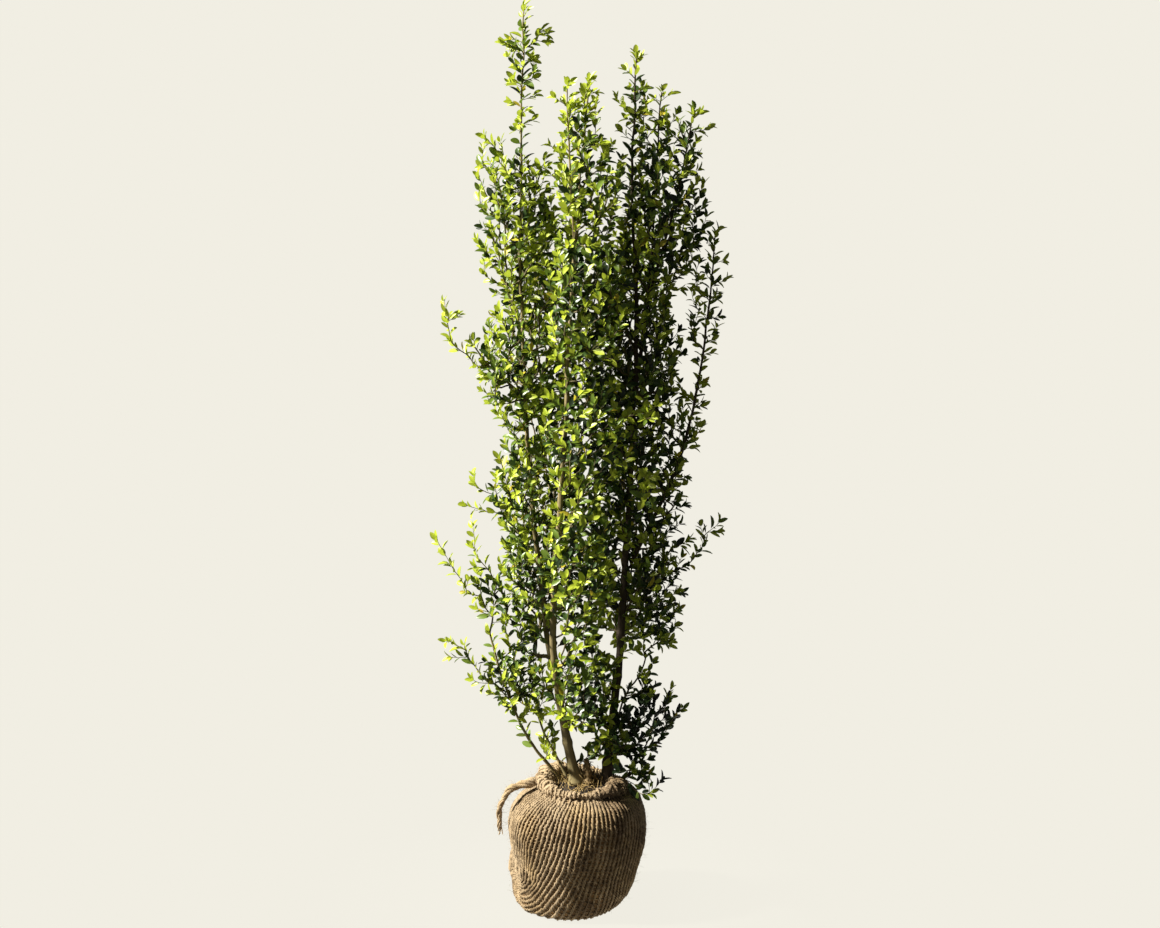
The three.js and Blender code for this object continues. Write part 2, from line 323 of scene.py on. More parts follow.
def bark_material(name, pale, dark, lean):
    """Thin bark: long streaks, darker flecks and small pores over a smooth skin."""
    recipe = Recipe(name)
    streaks = recipe.noise(recipe.place((1, 1, 0.16)), 190, 4.0, 0.6)
    patches = recipe.noise(recipe.place((1, 1, 0.5)), 34, 3.0)
    flecks = recipe.noise(recipe.place((1, 1, 0.7)), 620, 2.0)
    mask = (streaks * 0.9 + patches * 1.1 - lean).clamped()
    base = recipe.mix(mask, pale, dark)
    base = recipe.mix((flecks * 5.0 - 3.1).clamped() * 0.6, base, times(dark, 0.5))
    relief = recipe.bump(streaks * 0.7 + flecks * 0.3, 0.0007)
    surface = {"Base Color": base, "Roughness": 0.62 + patches * 0.25, "Normal": relief}
    return recipe.finish(recipe.principled(surface))


def jute_material(name, pale, dark, grime):
    """Coarse jute yarn: fine twisted fibres, rubbed with soil in patches and darker towards the bottom, with
    painted highlights and painted shade in speckles.
    """
    recipe = Recipe(name)
    fibres = recipe.noise(recipe.place((1, 1, 0.35)), 900, 3.0, 0.7)
    strands = recipe.noise(recipe.place(), 240, 3.0, 0.6)
    dirt = recipe.noise(recipe.place(), 22, 4.0, 0.62)
    low = recipe.noise(recipe.place((1, 1, 0.4)), 9, 2.0)
    spot = recipe.node("ShaderNodeSeparateXYZ", {}, {0: recipe.place()}, "Z")
    speckled_highlight_and_shade = recipe.noise(recipe.place(), 105, 2.0)
    offset = recipe.node("ShaderNodeVectorMath", {"operation": "SUBTRACT"}, {0: recipe.place(), 1: STAIN})
    stain = 1.0 - recipe.node("ShaderNodeVectorMath", {"operation": "LENGTH"}, {0: offset}, 1) * 15.0
    # The mask grows darker towards the bottom, and the clean yarn warmer, as spot, the height, falls.
    mask = (dirt * 3.2 + low * 1.1 + strands * 0.8 - spot * 1.6 - grime).clamped()
    warm = (pale[0] * 0.84, pale[1] * 0.72, pale[2] * 0.38)
    clean = recipe.mix((low * 3.0 - 1.0 - spot * 1.5).clamped(), pale, warm)
    base = recipe.mix(mask, clean, dark)
    base = recipe.mix((stain.clamped() * dirt * 3.2).clamped() * 0.85, base, times(dark, 0.9))
    # Painted highlights and painted shade: bright speckles stand for sun glinting on the stitches, dark ones
    # for shade between them.
    base = recipe.mix((speckled_highlight_and_shade * 6.0 - 3.3).clamped() * 0.5, base, times(pale, 1.5))
    base = recipe.mix((2.5 - speckled_highlight_and_shade * 6.0).clamped() * 0.5, base, times(dark, 0.8))
    base = recipe.mix((fibres * 2.0 - 0.8).clamped() * 0.45, base, times(pale, 1.25))
    base = recipe.mix((strands * 4.0 - 2.05).clamped() * 0.75, base, times(dark, 0.5))
    relief = recipe.bump(fibres * 0.6 + strands * 0.5, 0.0009)
    return recipe.finish(recipe.principled({"Base Color": base, "Roughness": 0.93, "Normal": relief}))


def soil_material(tint):
    """Crumbly soil with grains and clods."""
    recipe = Recipe("crumbly_soil")
    grains = recipe.noise(recipe.place(), 420, 4.0, 0.7)
    clods = recipe.noise(recipe.place(), 60, 3.0)
    base = recipe.mix((grains * 2.0 - 0.6).clamped(), times(tint, 0.5), times(tint, 2.4))
    base = recipe.mix(clods * 0.6, base, tint)
    relief = recipe.bump(grains + clods, 0.0016)
    return recipe.finish(recipe.principled({"Base Color": base, "Roughness": 1.0, "Normal": relief}))


def straw_material(tint):
    """Dry stalks, from ochre to pale straw."""
    recipe = Recipe("dry_straw")
    drift = recipe.noise(recipe.place(), 70, 3.0)
    streaks = recipe.noise(recipe.place((0.3, 1, 1)), 700, 2.0)
    base = recipe.mix(drift, times(tint, 0.45), times(tint, 1.6))
    base = recipe.mix((streaks * 3.0 - 1.6).clamped() * 0.5, base, times(tint, 0.3))
    relief = recipe.bump(streaks, 0.0004)
    return recipe.finish(recipe.principled({"Base Color": base, "Roughness": 0.75, "Normal": relief}))


# ---------------------------------------------------------------- geometry trees


class Tree:
    """A Geometry Nodes tree under construction, with named inputs."""

    def __init__(self, name, sockets):
        self.tree = bpy.data.node_groups.new(name, "GeometryNodeTree")
        face = self.tree.interface
        face.new_socket("Geometry", in_out="INPUT", socket_type="NodeSocketGeometry")
        for label, kind in sockets.items():
            face.new_socket(label, in_out="INPUT", socket_type="NodeSocket" + kind)
        face.new_socket("Geometry", in_out="OUTPUT", socket_type="NodeSocketGeometry")
        self.given = self.tree.nodes.new("NodeGroupInput").outputs

    def node(self, kind, inputs=None, output=0, **settings):
        node = self.tree.nodes.new(kind)
        for key, value in settings.items():
            setattr(node, key, value)
        for key, value in (inputs or {}).items():
            links = value if isinstance(value, list) else [value]
            for link in links:
                if isinstance(link, bpy.types.NodeSocket):
                    self.tree.links.new(link, node.inputs[key])
                else:
                    node.inputs[key].default_value = link
        return node.outputs[output]

    def attribute(self, name, kind):
        return self.node("GeometryNodeInputNamedAttribute", {"Name": name}, data_type=kind)

    def random(self, low, high):
        """An even random number for every point."""
        limits = {2: low, 3: high, "Seed": self.given["Seed"]}
        return self.node("FunctionNodeRandomValue", limits, 1, data_type="FLOAT")

    def maths(self, operation, first, second):
        return self.node("ShaderNodeMath", {0: first, 1: second}, operation=operation)

    def shape(self, label):
        inputs = {"Object": self.given[label], "As Instance": True}
        return self.node("GeometryNodeObjectInfo", inputs, "Geometry")

    def scatter(self, points, labels, rotation, scale):
        """One of the shapes on every point."""
        choice = self.node("GeometryNodeJoinGeometry", {"Geometry": [self.shape(label) for label in labels]})
        limits = {4: 0, 5: len(labels) - 1, "Seed": self.given["Seed"]}
        inputs = {
            "Points": points,
            "Instance": choice,
            "Pick Instance": True,
            "Instance Index": self.node("FunctionNodeRandomValue", limits, 2, data_type="INT"),
            "Rotation": rotation,
            "Scale": scale,
        }
        return self.node("GeometryNodeInstanceOnPoints", inputs)

    def finish(self, geometry):
        """Every tree ends in real meshes that carry their material."""
        plain = self.node("GeometryNodeRealizeInstances", {"Geometry": geometry})
        shaded = self.node("GeometryNodeSetShadeSmooth", {"Geometry": plain, "Shade Smooth": True})
        inputs = {"Geometry": shaded, "Material": self.given["Material"]}
        self.tree.links.new(
            self.node("GeometryNodeSetMaterial", inputs), self.tree.nodes.new("NodeGroupOutput").inputs[0]
        )
        return self.tree


def bake(name, carrier, tree, values):
    """Runs a tree on the carrier and keeps only the plain mesh it makes."""
    modifier = carrier.modifiers.new(name, "NODES")
    modifier.node_group = tree
    for item in tree.interface.items_tree:
        if item.in_out == "INPUT" and item.name in values:
            modifier[item.identifier] = values[item.name]
    graph = bpy.context.evaluated_depsgraph_get()
    mesh = bpy.data.meshes.new_from_object(carrier.evaluated_get(graph), depsgraph=graph)
    mesh.name = name
    carrier.modifiers.clear()
    bpy.data.objects.remove(carrier)
    return place_object(name, mesh)


def place_object(name, mesh):
    piece = bpy.data.objects.new(name, mesh)
    bpy.context.scene.collection.objects.link(piece)
    return piece


def mesh_piece(name, vertices, faces, material=None, edges=()):
    mesh = bpy.data.meshes.new(name)
    mesh.from_pydata([tuple(v) for v in vertices], [tuple(e) for e in edges], [tuple(f) for f in faces])
    mesh.validate()
    if len(mesh.polygons):
        mesh.polygons.foreach_set("use_smooth", np.ones(len(mesh.polygons), bool))
    if material:
        mesh.materials.append(material)
    return place_object(name, mesh)


def band(start, after, count, flip=False):
    """Faces between two rings of points."""
    faces = []
    for k in range(count):
        beside = (k + 1) % count
        if flip:
            faces.append((start + k, after + k, after + beside, start + beside))
        else:
            faces.append((start + k, start + beside, after + beside, after + k))
    return faces


def set_attribute(piece, name, kind, values):
    layer = piece.data.attributes.new(name, kind, "POINT")
    field = "vector" if kind == "FLOAT_VECTOR" else "value"
    layer.data.foreach_set(field, np.asarray(values, np.float32).ravel())


def hand_in(piece, slot, *nodes):
    """The piece rides on the plant's one body and stands for the CAD nodes it covers."""
    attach(piece, BODY)
    if nodes:
        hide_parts(*nodes)


def scatter_tree():
    """One of three shapes on every point, turned and sized by the point's own attributes."""
    labels = ("First", "Second", "Third")
    tree = Tree("scatter_on_points", {**dict.fromkeys(labels, "Object"), "Seed": "Int", "Material": "Material"})
    turn, size = (tree.attribute(name, "FLOAT_VECTOR") for name in ("turn", "size"))
    return tree.finish(tree.scatter(tree.given["Geometry"], labels, turn, size))


def tube_tree():
    """A round skin along every line, as thick as the line's own girth."""
    tree = Tree("skin_along_lines", {"Sides": "Int", "Material": "Material"})
    line = tree.node("GeometryNodeMeshToCurve", {"Mesh": tree.given["Geometry"]})
    ring = tree.node("GeometryNodeCurvePrimitiveCircle", {"Resolution": tree.given["Sides"], "Radius": 1.0})
    girth = tree.attribute("girth", "FLOAT")
    inputs = {"Curve": line, "Profile Curve": ring, "Scale": girth, "Fill Caps": True}
    skin = tree.node("GeometryNodeCurveToMesh", inputs)
    return tree.finish(skin)


def chain_tree():
    """Slanted stitches along every rib, each lying on the cloth below it."""
    tree = Tree(
        "stitches_along_ribs",
        {
            "Cloth": "Object",
            "Stitch": "Object",
            "Pitch": "Float",
            "Slant": "Float",
            "Width": "Float",
            "Seed": "Int",
            "Material": "Material",
        },
    )
    given = tree.given
    line = tree.node("GeometryNodeMeshToCurve", {"Mesh": given["Geometry"]})
    line = tree.node("GeometryNodeResampleCurve", {"Curve": line, "Length": given["Pitch"]}, mode="LENGTH")
    cloth = tree.node("GeometryNodeObjectInfo", {"Object": given["Cloth"]}, "Geometry")
    outwards = tree.node(
        "GeometryNodeSampleNearestSurface",
        {"Mesh": cloth, "Value": tree.node("GeometryNodeInputNormal")},
        data_type="FLOAT_VECTOR",
    )
    along = tree.node("GeometryNodeInputTangent")
    facing = tree.node(
        "FunctionNodeAxesToRotation", {0: outwards, 1: along}, primary_axis="Z", secondary_axis="Y"
    )
    slant = tree.maths("ADD", given["Slant"], tree.random(-0.16, 0.16))
    tilt = tree.node("ShaderNodeCombineXYZ", {"Z": slant})
    turned = tree.node("FunctionNodeRotateRotation", {0: facing, 1: tilt}, rotation_space="LOCAL")
    size = tree.maths("MULTIPLY", given["Width"], tree.random(0.74, 1.2))
    inputs = {"Points": line, "Instance": tree.shape("Stitch"), "Rotation": turned, "Scale": size}
    return tree.finish(tree.node("GeometryNodeInstanceOnPoints", inputs))


def litter_tree():
    """Loose stalks or hairs over a surface, leaning every way."""
    tree = Tree(
        "litter_over_surface",
        {
            "First": "Object",
            "Second": "Object",
            "Density": "Float",
            "Lean": "Float",
            "Size": "Float",
            "Seed": "Int",
            "Material": "Material",
        },
    )
    given = tree.given
    inputs = {"Mesh": given["Geometry"], "Density": given["Density"], "Seed": given["Seed"]}
    points = tree.node("GeometryNodeDistributePointsOnFaces", inputs, "Points")
    upright = points.node.outputs["Rotation"]
    most = tree.node("ShaderNodeCombineXYZ", {"X": given["Lean"], "Y": given["Lean"], "Z": math.pi})
    least = tree.node("ShaderNodeVectorMath", {0: most, "Scale": -1.0}, operation="SCALE")
    limits = {0: least, 1: most, "Seed": given["Seed"]}
    spin = tree.node("FunctionNodeRandomValue", limits, data_type="FLOAT_VECTOR")
    turned = tree.node("FunctionNodeRotateRotation", {0: upright, 1: spin}, rotation_space="LOCAL")
    size = tree.maths("MULTIPLY", given["Size"], tree.random(0.5, 1.3))
    return tree.finish(tree.scatter(points, ("First", "Second"), turned, size))


# ---------------------------------------------------------------- measuring the frame


def corners_of(node):
    mesh = NODES[node].data
    points = np.empty(len(mesh.vertices) * 3)
    mesh.vertices.foreach_get("co", points)
    mesh.calc_loop_triangles()
    triangles = np.empty(len(mesh.loop_triangles) * 3, int)
    mesh.loop_triangles.foreach_get("vertices", triangles)
    return points.reshape(-1, 3), triangles.reshape(-1, 3)


def bvh_of(node):
    points, triangles = corners_of(node)
    return BVHTree.FromPolygons(points.tolist(), triangles.tolist())


def drift(place):
    """A smooth sway in every direction that is the same on every run, which noise_vector is not."""
    x, y, z = place
    return Vector([noise.noise((x + shift, y - 2 * shift, z + 3 * shift)) for shift in (9.3, 31.7, 57.1)])


def unit(vector):
    return vector / max(float(np.linalg.norm(vector)), 1e-9)


def section(points, triangles, heights):
    """Where the edges of a mesh cross a plane, given every corner's height over it."""
    starts = triangles.ravel()
    ends = np.roll(triangles, -1, 1).ravel()
    before, after = heights[starts], heights[ends]
    cut = before * after < 0
    share = (before / (before - after + 1e-12))[cut][:, None]
    return points[starts[cut]] * (1 - share) + points[ends[cut]] * share


def centreline(node, gap=0.02):
    """The middle and the radius of a limb from its foot to its tip, from cuts across it."""
    points, triangles = corners_of(node)
    axis = np.linalg.svd(points - points.mean(0), full_matrices=False)[2][0]
    axis = axis if axis[2] > 0 else -axis
    reach = points @ axis
    levels = np.linspace(reach.min() + 0.004, reach.max() - 0.001, max(3, int(np.ptp(reach) / gap)))
    middles, radii = [], []
    for level in levels:
        rim = section(points, triangles, reach - level)
        if len(rim) < 3:
            continue
        middles.append((rim.min(0) + rim.max(0)) / 2)
        radii.append(np.linalg.norm(rim - middles[-1], axis=1).mean())
    return np.array(middles), np.array(radii)


def roll_round(node, middle, count):
    """Middle and half-widths of a roll that runs round a point, at even turns."""
    points, triangles = corners_of(node)
    rows = []
    for number in range(count):
        angle = 2 * math.pi * number / count
        outwards = np.array((math.cos(angle), math.sin(angle), 0))
        normal = np.array((-outwards[1], outwards[0], 0))
        rim = section(points, triangles, (points - middle) @ normal) - middle
        rim = rim[rim @ outwards > 0]
        spread = rim @ outwards
        low, high = rim[:, 2].min(), rim[:, 2].max()
        middle_out = (spread.max() + spread.min()) / 2
        rows.append((middle_out, (low + high) / 2, np.ptp(spread) / 2, (high - low) / 2))
    rows = np.array(rows)
    for _ in range(4):
        rows = (np.roll(rows, 1, 0) + 2 * rows + np.roll(rows, -1, 0)) / 4
    return rows


def resampled(points, values, gap, soften=2):
    """Even steps along a line, its corners rounded off."""
    travelled = np.r_[0, np.cumsum(np.linalg.norm(np.diff(points, axis=0), axis=1))]
    count = max(4, int(round(travelled[-1] / gap)) + 1)
    places = np.linspace(0, travelled[-1], count)
    line = np.column_stack([np.interp(places, travelled, points[:, k]) for k in range(3)])
    sizes = np.interp(places, travelled, values)
    for _ in range(soften):
        line[1:-1] = (line[:-2] + 2 * line[1:-1] + line[2:]) / 4
        sizes[1:-1] = (sizes[:-2] + 2 * sizes[1:-1] + sizes[2:]) / 4
    return line, sizes


# ---------------------------------------------------------------- growth


class Canopy:
    """The space that the masses of foliage fill, on a grid of small cells."""

    CELL = 0.01
    BLUR = 4

    def __init__(self):
        boxes = [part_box(name) for name in MASSES]
        margin = self.CELL * (self.BLUR + 2)
        self.low = np.min([box[0] for box in boxes], axis=0) - margin
        high = np.max([box[1] for box in boxes], axis=0) + margin
        self.filled = np.zeros(np.ceil((high - self.low) / self.CELL).astype(int), bool)
        for name in MASSES:
            self.fill(name)
        self.depth = self.blurred(self.filled.astype(float))

    def fill(self, name):
        surface = bvh_of(name)
        low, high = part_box(name)
        first = ((np.array(low) - self.low) / self.CELL).astype(int)
        last = ((np.array(high) - self.low) / self.CELL).astype(int) + 1
        for column_x in range(first[0], last[0]):
            for column_y in range(first[1], last[1]):
                x, y = self.low[:2] + (np.array((column_x, column_y)) + 0.5) * self.CELL
                walls = self.walls(surface, Vector((x, y, low.z - 0.01)))
                for floor, ceiling in zip(walls[::2], walls[1::2]):
                    cells = np.round((np.array((floor, ceiling)) - self.low[2]) / self.CELL).astype(int)
                    self.filled[column_x, column_y, cells[0] : cells[1]] = True

    @staticmethod
    def walls(surface, start):
        heights = []
        while True:
            hit = surface.ray_cast(start, UP)[0]
            if hit is None:
                return heights
            heights.append(hit.z)
            start = hit + UP * 1e-5

    def blurred(self, grid):
        for axis in range(3):
            total = sum(np.roll(grid, shift, axis) for shift in range(-self.BLUR, self.BLUR + 1))
            grid = total / (2 * self.BLUR + 1)
        return grid

    def depth_at(self, point):
        """0 in the open air, about 1 deep inside the foliage."""
        cell = ((np.asarray(point) - self.low) / self.CELL).astype(int)
        cell = np.clip(cell, 0, np.array(self.filled.shape) - 1)
        return float(self.depth[tuple(cell)])

    def tips(self):
        """The furthest place of every mass, up and away from the stems."""
        centre = np.mean([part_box(name)[0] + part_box(name)[1] for name in MASSES], axis=0) / 2
        tips = []
        for name in MASSES:
            points = corners_of(name)[0]
            middle = points.mean(0)
            away = unit(np.array((middle[0] - centre[0], middle[1] - centre[1], 0)) + 1e-6)
            slender = np.ptp(points, axis=0)[:2].max() < 0.13
            rise = 1.2 if slender else 0.6
            tip = points[np.argmax((points - middle) @ (away + np.array((0, 0, rise))))]
            tips.append(middle + (tip - middle) * 0.94)
        return np.array(tips)

    def buds(self, outer_gap, inner_gap, thinning, chance):
        """Places for shoot tips: close together at the surface, further apart inside."""
        cells = np.argwhere(self.filled)
        order = list(range(len(cells)))
        chance.shuffle(order)
        kept, near = [], {}
        for index in order:
            jitter = np.array([chance.random() for _ in range(3)])
            point = self.low + (cells[index] + jitter) * self.CELL
            depth = self.depth[tuple(cells[index])]
            if depth < 0.36 and chance.random() < thinning:
                continue
            gap = outer_gap + (inner_gap - outer_gap) * min(1, max(0, (depth - 0.55) / 0.4)) ** 1.5
            key = tuple((point / inner_gap).astype(int))
            around = [
                other
                for dx in (-1, 0, 1)
                for dy in (-1, 0, 1)
                for dz in (-1, 0, 1)
                for other in near.get((key[0] + dx, key[1] + dy, key[2] + dz), ())
            ]
            if all(np.linalg.norm(point - other) > gap for other in around):
                near.setdefault(key, []).append(point)
                kept.append(point)
        return np.array(kept)


class Growth:
    """All the wood: the frame's limbs, and the twigs that grow on from them to every bud."""

    def __init__(self, plant):
        self.plant = plant
        self.chance = random.Random(plant.seed)
        self.crown = Canopy()
        self.limbs = {name: self.limb(name) for name in LIMBS}
        self.graft()
        self.place = np.zeros((60000, 3))
        self.heading = np.zeros((60000, 3))
        self.reach = np.zeros(60000)
        self.parent = []
        self.girth = []
        self.twigs = []
        for line, radii in self.limbs.values():
            self.add_limb(line, radii)
        self.limb_points = len(self.parent)
        self.grow_twigs()
        self.thicken()

    def limb(self, name):
        line, radii = resampled(*centreline(name), 0.006, soften=12)
        radii = radii * SHOWN_THICKNESS
        start = hash_of(name)
        slack = np.minimum(1, np.arange(len(line)) / 14)
        for index, point in enumerate(line):
            sway = drift((start, index * 0.085, 0)) * 0.0032 + drift((start, 9, index * 0.31)) * 0.0012
            line[index] = point + np.array(sway) * slack[index]
        return line, radii

    def graft(self):
        """A limb starts in the heart of the wood it forks from, or a little below the soil's top."""
        for name, (line, radii) in list(self.limbs.items()):
            if line[0][2] < SOIL_TOP + 0.02:
                foot = line[0] + unit(line[0] - line[2]) * 0.004
                foot[2] = SOIL_TOP - 0.006
            else:
                others = [pair for other, pair in self.limbs.items() if other != name]
                nearest = min(
                    ((np.linalg.norm(points - line[0], axis=1) - sizes).min(), k)
                    for k, (points, sizes) in enumerate(others)
                )[1]
                points = others[nearest][0]
                target = points[np.argmin(np.linalg.norm(points - line[0] + (0, 0, 0.012), axis=1))]
                foot = target
            bridge = [foot + (line[0] - foot) * share for share in (0, 0.33, 0.66)]
            line = np.vstack([bridge, line])
            radii = np.r_[[radii[0]] * 3, radii]
            line[1:-1] = (line[:-2] + 2 * line[1:-1] + line[2:]) / 4
            self.limbs[name] = (line, radii)

    def add_point(self, point, parent, girth):
        index = len(self.parent)
        self.place[index] = point
        before = self.place[parent] if parent >= 0 else point - np.array((0, 0, 0.01))
        self.heading[index] = unit(point - before)
        self.reach[index] = (self.reach[parent] if parent >= 0 else 0) + np.linalg.norm(point - before)
        self.parent.append(parent)
        self.girth.append(girth)
        return index

    def add_limb(self, line, radii):
        parent = -1
        for point, radius in list(zip(line, radii))[::2]:
            parent = self.add_point(point, parent, radius)

    def grow_twigs(self):
        plant = self.plant
        buds = self.crown.buds(plant.outer_gap, plant.inner_gap, plant.thinning, self.chance)
        buds = np.vstack([self.crown.tips(), self.thin_sprays(), buds])
        wood = self.place[: self.limb_points]
        order = np.argsort([np.linalg.norm(wood - bud, axis=1).min() for bud in buds])
        self.middle = buds.mean(0)
        for bud in buds[order]:
            self.grow_to(bud, self.middle)

    def thin_sprays(self):
        """Buds of the thin sprays that stand out, most of them round the feet of the stems."""
        buds = []
        for x, y, z, reach, count in THIN_SPRAYS:
            for _ in range(count):
                way = unit(np.array([self.chance.gauss(0, 1) for _ in range(3)]))
                buds.append(np.array((x, y, z)) + way * reach * self.chance.random() ** 0.4)
        return np.array(buds)

    def grow_to(self, bud, middle):
        count = len(self.parent)
        span = bud - self.place[:count]
        gap = np.linalg.norm(span, axis=1) + 1e-6
        rise = span[:, 2] / gap
        along = (span * self.heading[:count]).sum(1) / gap
        cost = gap * (1.75 - 0.75 * rise - 0.3 * along) + 0.05 * self.reach[:count]
        steep = cost + np.where(rise < -0.1, 1.0, 0.0)
        best = self.through_leaves(steep, gap, bud)
        if gap[best] > 0.11:
            best = int(np.argmin(cost))
        start = self.place[best]
        direct = span[best] / gap[best]
        outwards = unit(np.array((*(bud - middle)[:2], 0)))
        leave = unit(self.heading[best] * 0.55 + direct * 0.8) * gap[best]
        upturn = np.array((0, 0, 0.62 if direct[2] > -0.2 else 0.05))
        arrive = unit(direct * 0.7 + outwards * 0.22 + upturn) * gap[best]
        steps = max(2, int(round(gap[best] / self.plant.step)))
        twig = [best]
        for k in range(1, steps + 1):
            t = k / steps
            point = (
                start * (2 * t**3 - 3 * t**2 + 1)
                + leave * (t**3 - 2 * t**2 + t)
                + bud * (3 * t**2 - 2 * t**3)
                + arrive * (t**3 - t**2)
            )
            wobble = np.array([self.chance.gauss(0, 0.0006) for _ in range(3)])
            twig.append(self.add_point(point + wobble, twig[-1], 0))
        self.twigs.append(twig)

    def through_leaves(self, cost, gap, bud):
        """Of the best starts, the one whose way to the bud stays inside the foliage."""
        if len(cost) < 80:
            return int(np.argmin(cost))
        chosen = np.argpartition(cost, 60)[:60]
        open_air = np.array([1 - self.crown.depth_at((self.place[k] + bud) / 2) for k in chosen])
        return int(chosen[np.argmin(cost[chosen] + 1.1 * gap[chosen] * open_air)])

    def thicken(self):
        """Wood carries what grows from it: the more tips, the thicker."""
        load = np.zeros(len(self.parent))
        for twig in self.twigs:
            load[twig[-1]] += 1
        for index in range(len(self.parent) - 1, self.limb_points - 1, -1):
            load[index] = max(load[index], 1)
            load[self.parent[index]] += load[index]
        for index in range(self.limb_points, len(self.parent)):
            thick = self.plant.tip_girth * load[index] ** 0.42
            self.girth[index] = min(thick, max(self.girth[self.parent[index]], self.plant.tip_girth))


def hash_of(name):
    """A number that belongs to a name and is the same on every run."""
    return sum((k + 1) * ord(letter) for k, letter in enumerate(name)) * 0.137


# ---------------------------------------------------------------- leaves


KINDS = ("lime", "fresh", "mature", "deep", "yellow")


class Leaf:
    def __init__(self, place, turn, size, kind):
        self.place = place
        self.turn = turn
        self.size = size
        self.kind = kind


def leaf_kind(crown, point, young, mood, chance):
    """A leaf's colour kind. Young tips are brighter and leaves brighten towards the top; painted light
    brightens the sunlit left front; age and painted shade darken the crown's inside, and painted shade darkens
    its lower right.
    """
    depth = crown.depth_at(point)
    height = (point[2] - SOIL_TOP) / 1.5
    # Painted light: leaves on the left front, towards the sun, score brighter.
    lit = 0.5 - 1.3 * (point[0] - 0.03) - 1.1 * point[1]
    # Painted shade: low leaves on the right, in the crown's shadow, score darker.
    foot = min(1, max(0, (0.52 - point[2]) / 0.1)) * min(1, max(0, (point[0] + 0.01) / 0.05))
    mood -= 0.46 * foot
    # Deep leaves score darker, partly for their age and partly as painted shade; higher ones score brighter.
    score = 0.95 * (1 - depth) + 0.22 * height + 0.34 * lit + mood + chance.gauss(0, 0.2)
    score += 0.24 if young else 0
    if chance.random() < 0.012:
        return "yellow"
    if score > 1.0:
        return "lime"
    if score > 0.74:
        return "fresh"
    return "mature" if score > 0.46 else "deep"


def leaf_at(point, heading, azimuth, lean, size, kind, outwards, chance):
    """A leaf that leaves its shoot at an angle, with its upper side turned to the tip and to the light."""
    along = Vector(heading)
    side = along.orthogonal().normalized()
    side.rotate(Matrix.Rotation(azimuth, 3, along))
    blade = (along * math.cos(lean) + side * math.sin(lean)).normalized()
    light = outwards * 0.8 + Vector((-0.30, -0.25, 0.45))
    face = (along - blade * along.dot(blade)).normalized() * 0.6 + light * 0.7
    face += Vector([chance.gauss(0, 0.18) for _ in range(3)])
    face = (face - blade * face.dot(blade)).normalized()
    across = blade.cross(face).normalized()
    turn = Matrix((across, blade, face)).transposed().to_euler()
    return Leaf(Vector(point) + side * 0.0006, turn, size, kind)


def leaves_on(growth):
    plant, chance, crown = growth.plant, random.Random(growth.plant.seed + 1), growth.crown
    shoots = [([growth.place[i] for i in twig], [growth.girth[i] for i in twig]) for twig in growth.twigs]
    for line, radii in growth.limbs.values():
        thin = np.flatnonzero(radii < 0.0031)
        if len(thin) > 3:
            shoots.append((line[thin[0] :], np.full(len(line) - thin[0], plant.tip_girth)))
    axis = Vector((*growth.middle[:2], 0))
    leaves = []

    def outward_of(point):
        way = Vector((point[0], point[1], 0)) - axis
        return way / max(0.08, way.length)

    for points, girths in shoots:
        points = np.array(points)
        travelled = np.r_[0, np.cumsum(np.linalg.norm(np.diff(points, axis=0), axis=1))]
        azimuth = chance.uniform(0, 6.28)
        mood = chance.gauss(0, 0.2)
        place = chance.uniform(0.004, 0.010)
        whole = travelled[-1]
        while place < whole:
            segment = min(int(np.searchsorted(travelled, place)), len(points) - 1)
            share = (place - travelled[segment - 1]) / max(travelled[segment] - travelled[segment - 1], 1e-6)
            point = points[segment - 1] + (points[segment] - points[segment - 1]) * share
            left = whole - place
            leafy = girths[segment] < plant.leafy_girth
            bare = chance.random() < 0.55 * max(0, crown.depth_at(point) - 0.8) / 0.2
            if leafy and not bare:
                young = left < 0.02
                size = chance.uniform(0.78, 1.12) * (0.72 if young else 1)
                lean = chance.gauss(0.86, 0.16) - (0.3 if young else 0)
                kind = leaf_kind(crown, point, left < 0.03, mood, chance)
                along = unit(points[segment] - points[segment - 1])
                leaves.append(leaf_at(point, along, azimuth, lean, size, kind, outward_of(point), chance))
            azimuth += GOLDEN_ANGLE + chance.gauss(0, 0.25)
            place += plant.leaf_gap * chance.uniform(0.75, 1.3)
        heading = unit(points[-1] - points[-2])
        for turn in range(3):
            size = chance.uniform(0.5, 0.85)
            kind = leaf_kind(crown, points[-1], True, mood, chance)
            lean, out = chance.uniform(0.25, 0.6), outward_of(points[-1])
            leaves.append(leaf_at(points[-1], heading, azimuth + turn * 2.1, lean, size, kind, out, chance))
    return leaves


def leaf_blade(name, plant, fold, droop, fullness):
    """A small pointed leaf on a short stalk, folded along its midrib and bent back towards its tip."""
    rows = ((0.0, 0.05), (0.1, 0.08), (0.28, 0.76), (0.52, 1.0), (0.78, 0.8), (0.93, 0.4), (1.0, 0.0))
    vertices, faces = [], []
    for along, wide in rows:
        half = plant.leaf_width / 2 * wide * fullness
        y = plant.leaf_length * along
        z = -droop * plant.leaf_length * along**2
        lift = half * math.tan(fold)
        if wide == 0:
            vertices.append((0, y, z))
            break
        vertices += [(-half, y, z + lift), (0, y, z), (half, y, z + lift)]
    for row in range(len(rows) - 2):
        a = row * 3
        faces += [(a, a + 1, a + 4, a + 3), (a + 1, a + 2, a + 5, a + 4)]
    last, tip = (len(rows) - 2) * 3, len(vertices) - 1
    faces += [(last, last + 1, tip), (last + 1, last + 2, tip)]
    return mesh_piece(name, vertices, faces)


# ---------------------------------------------------------------- the ball's cloth


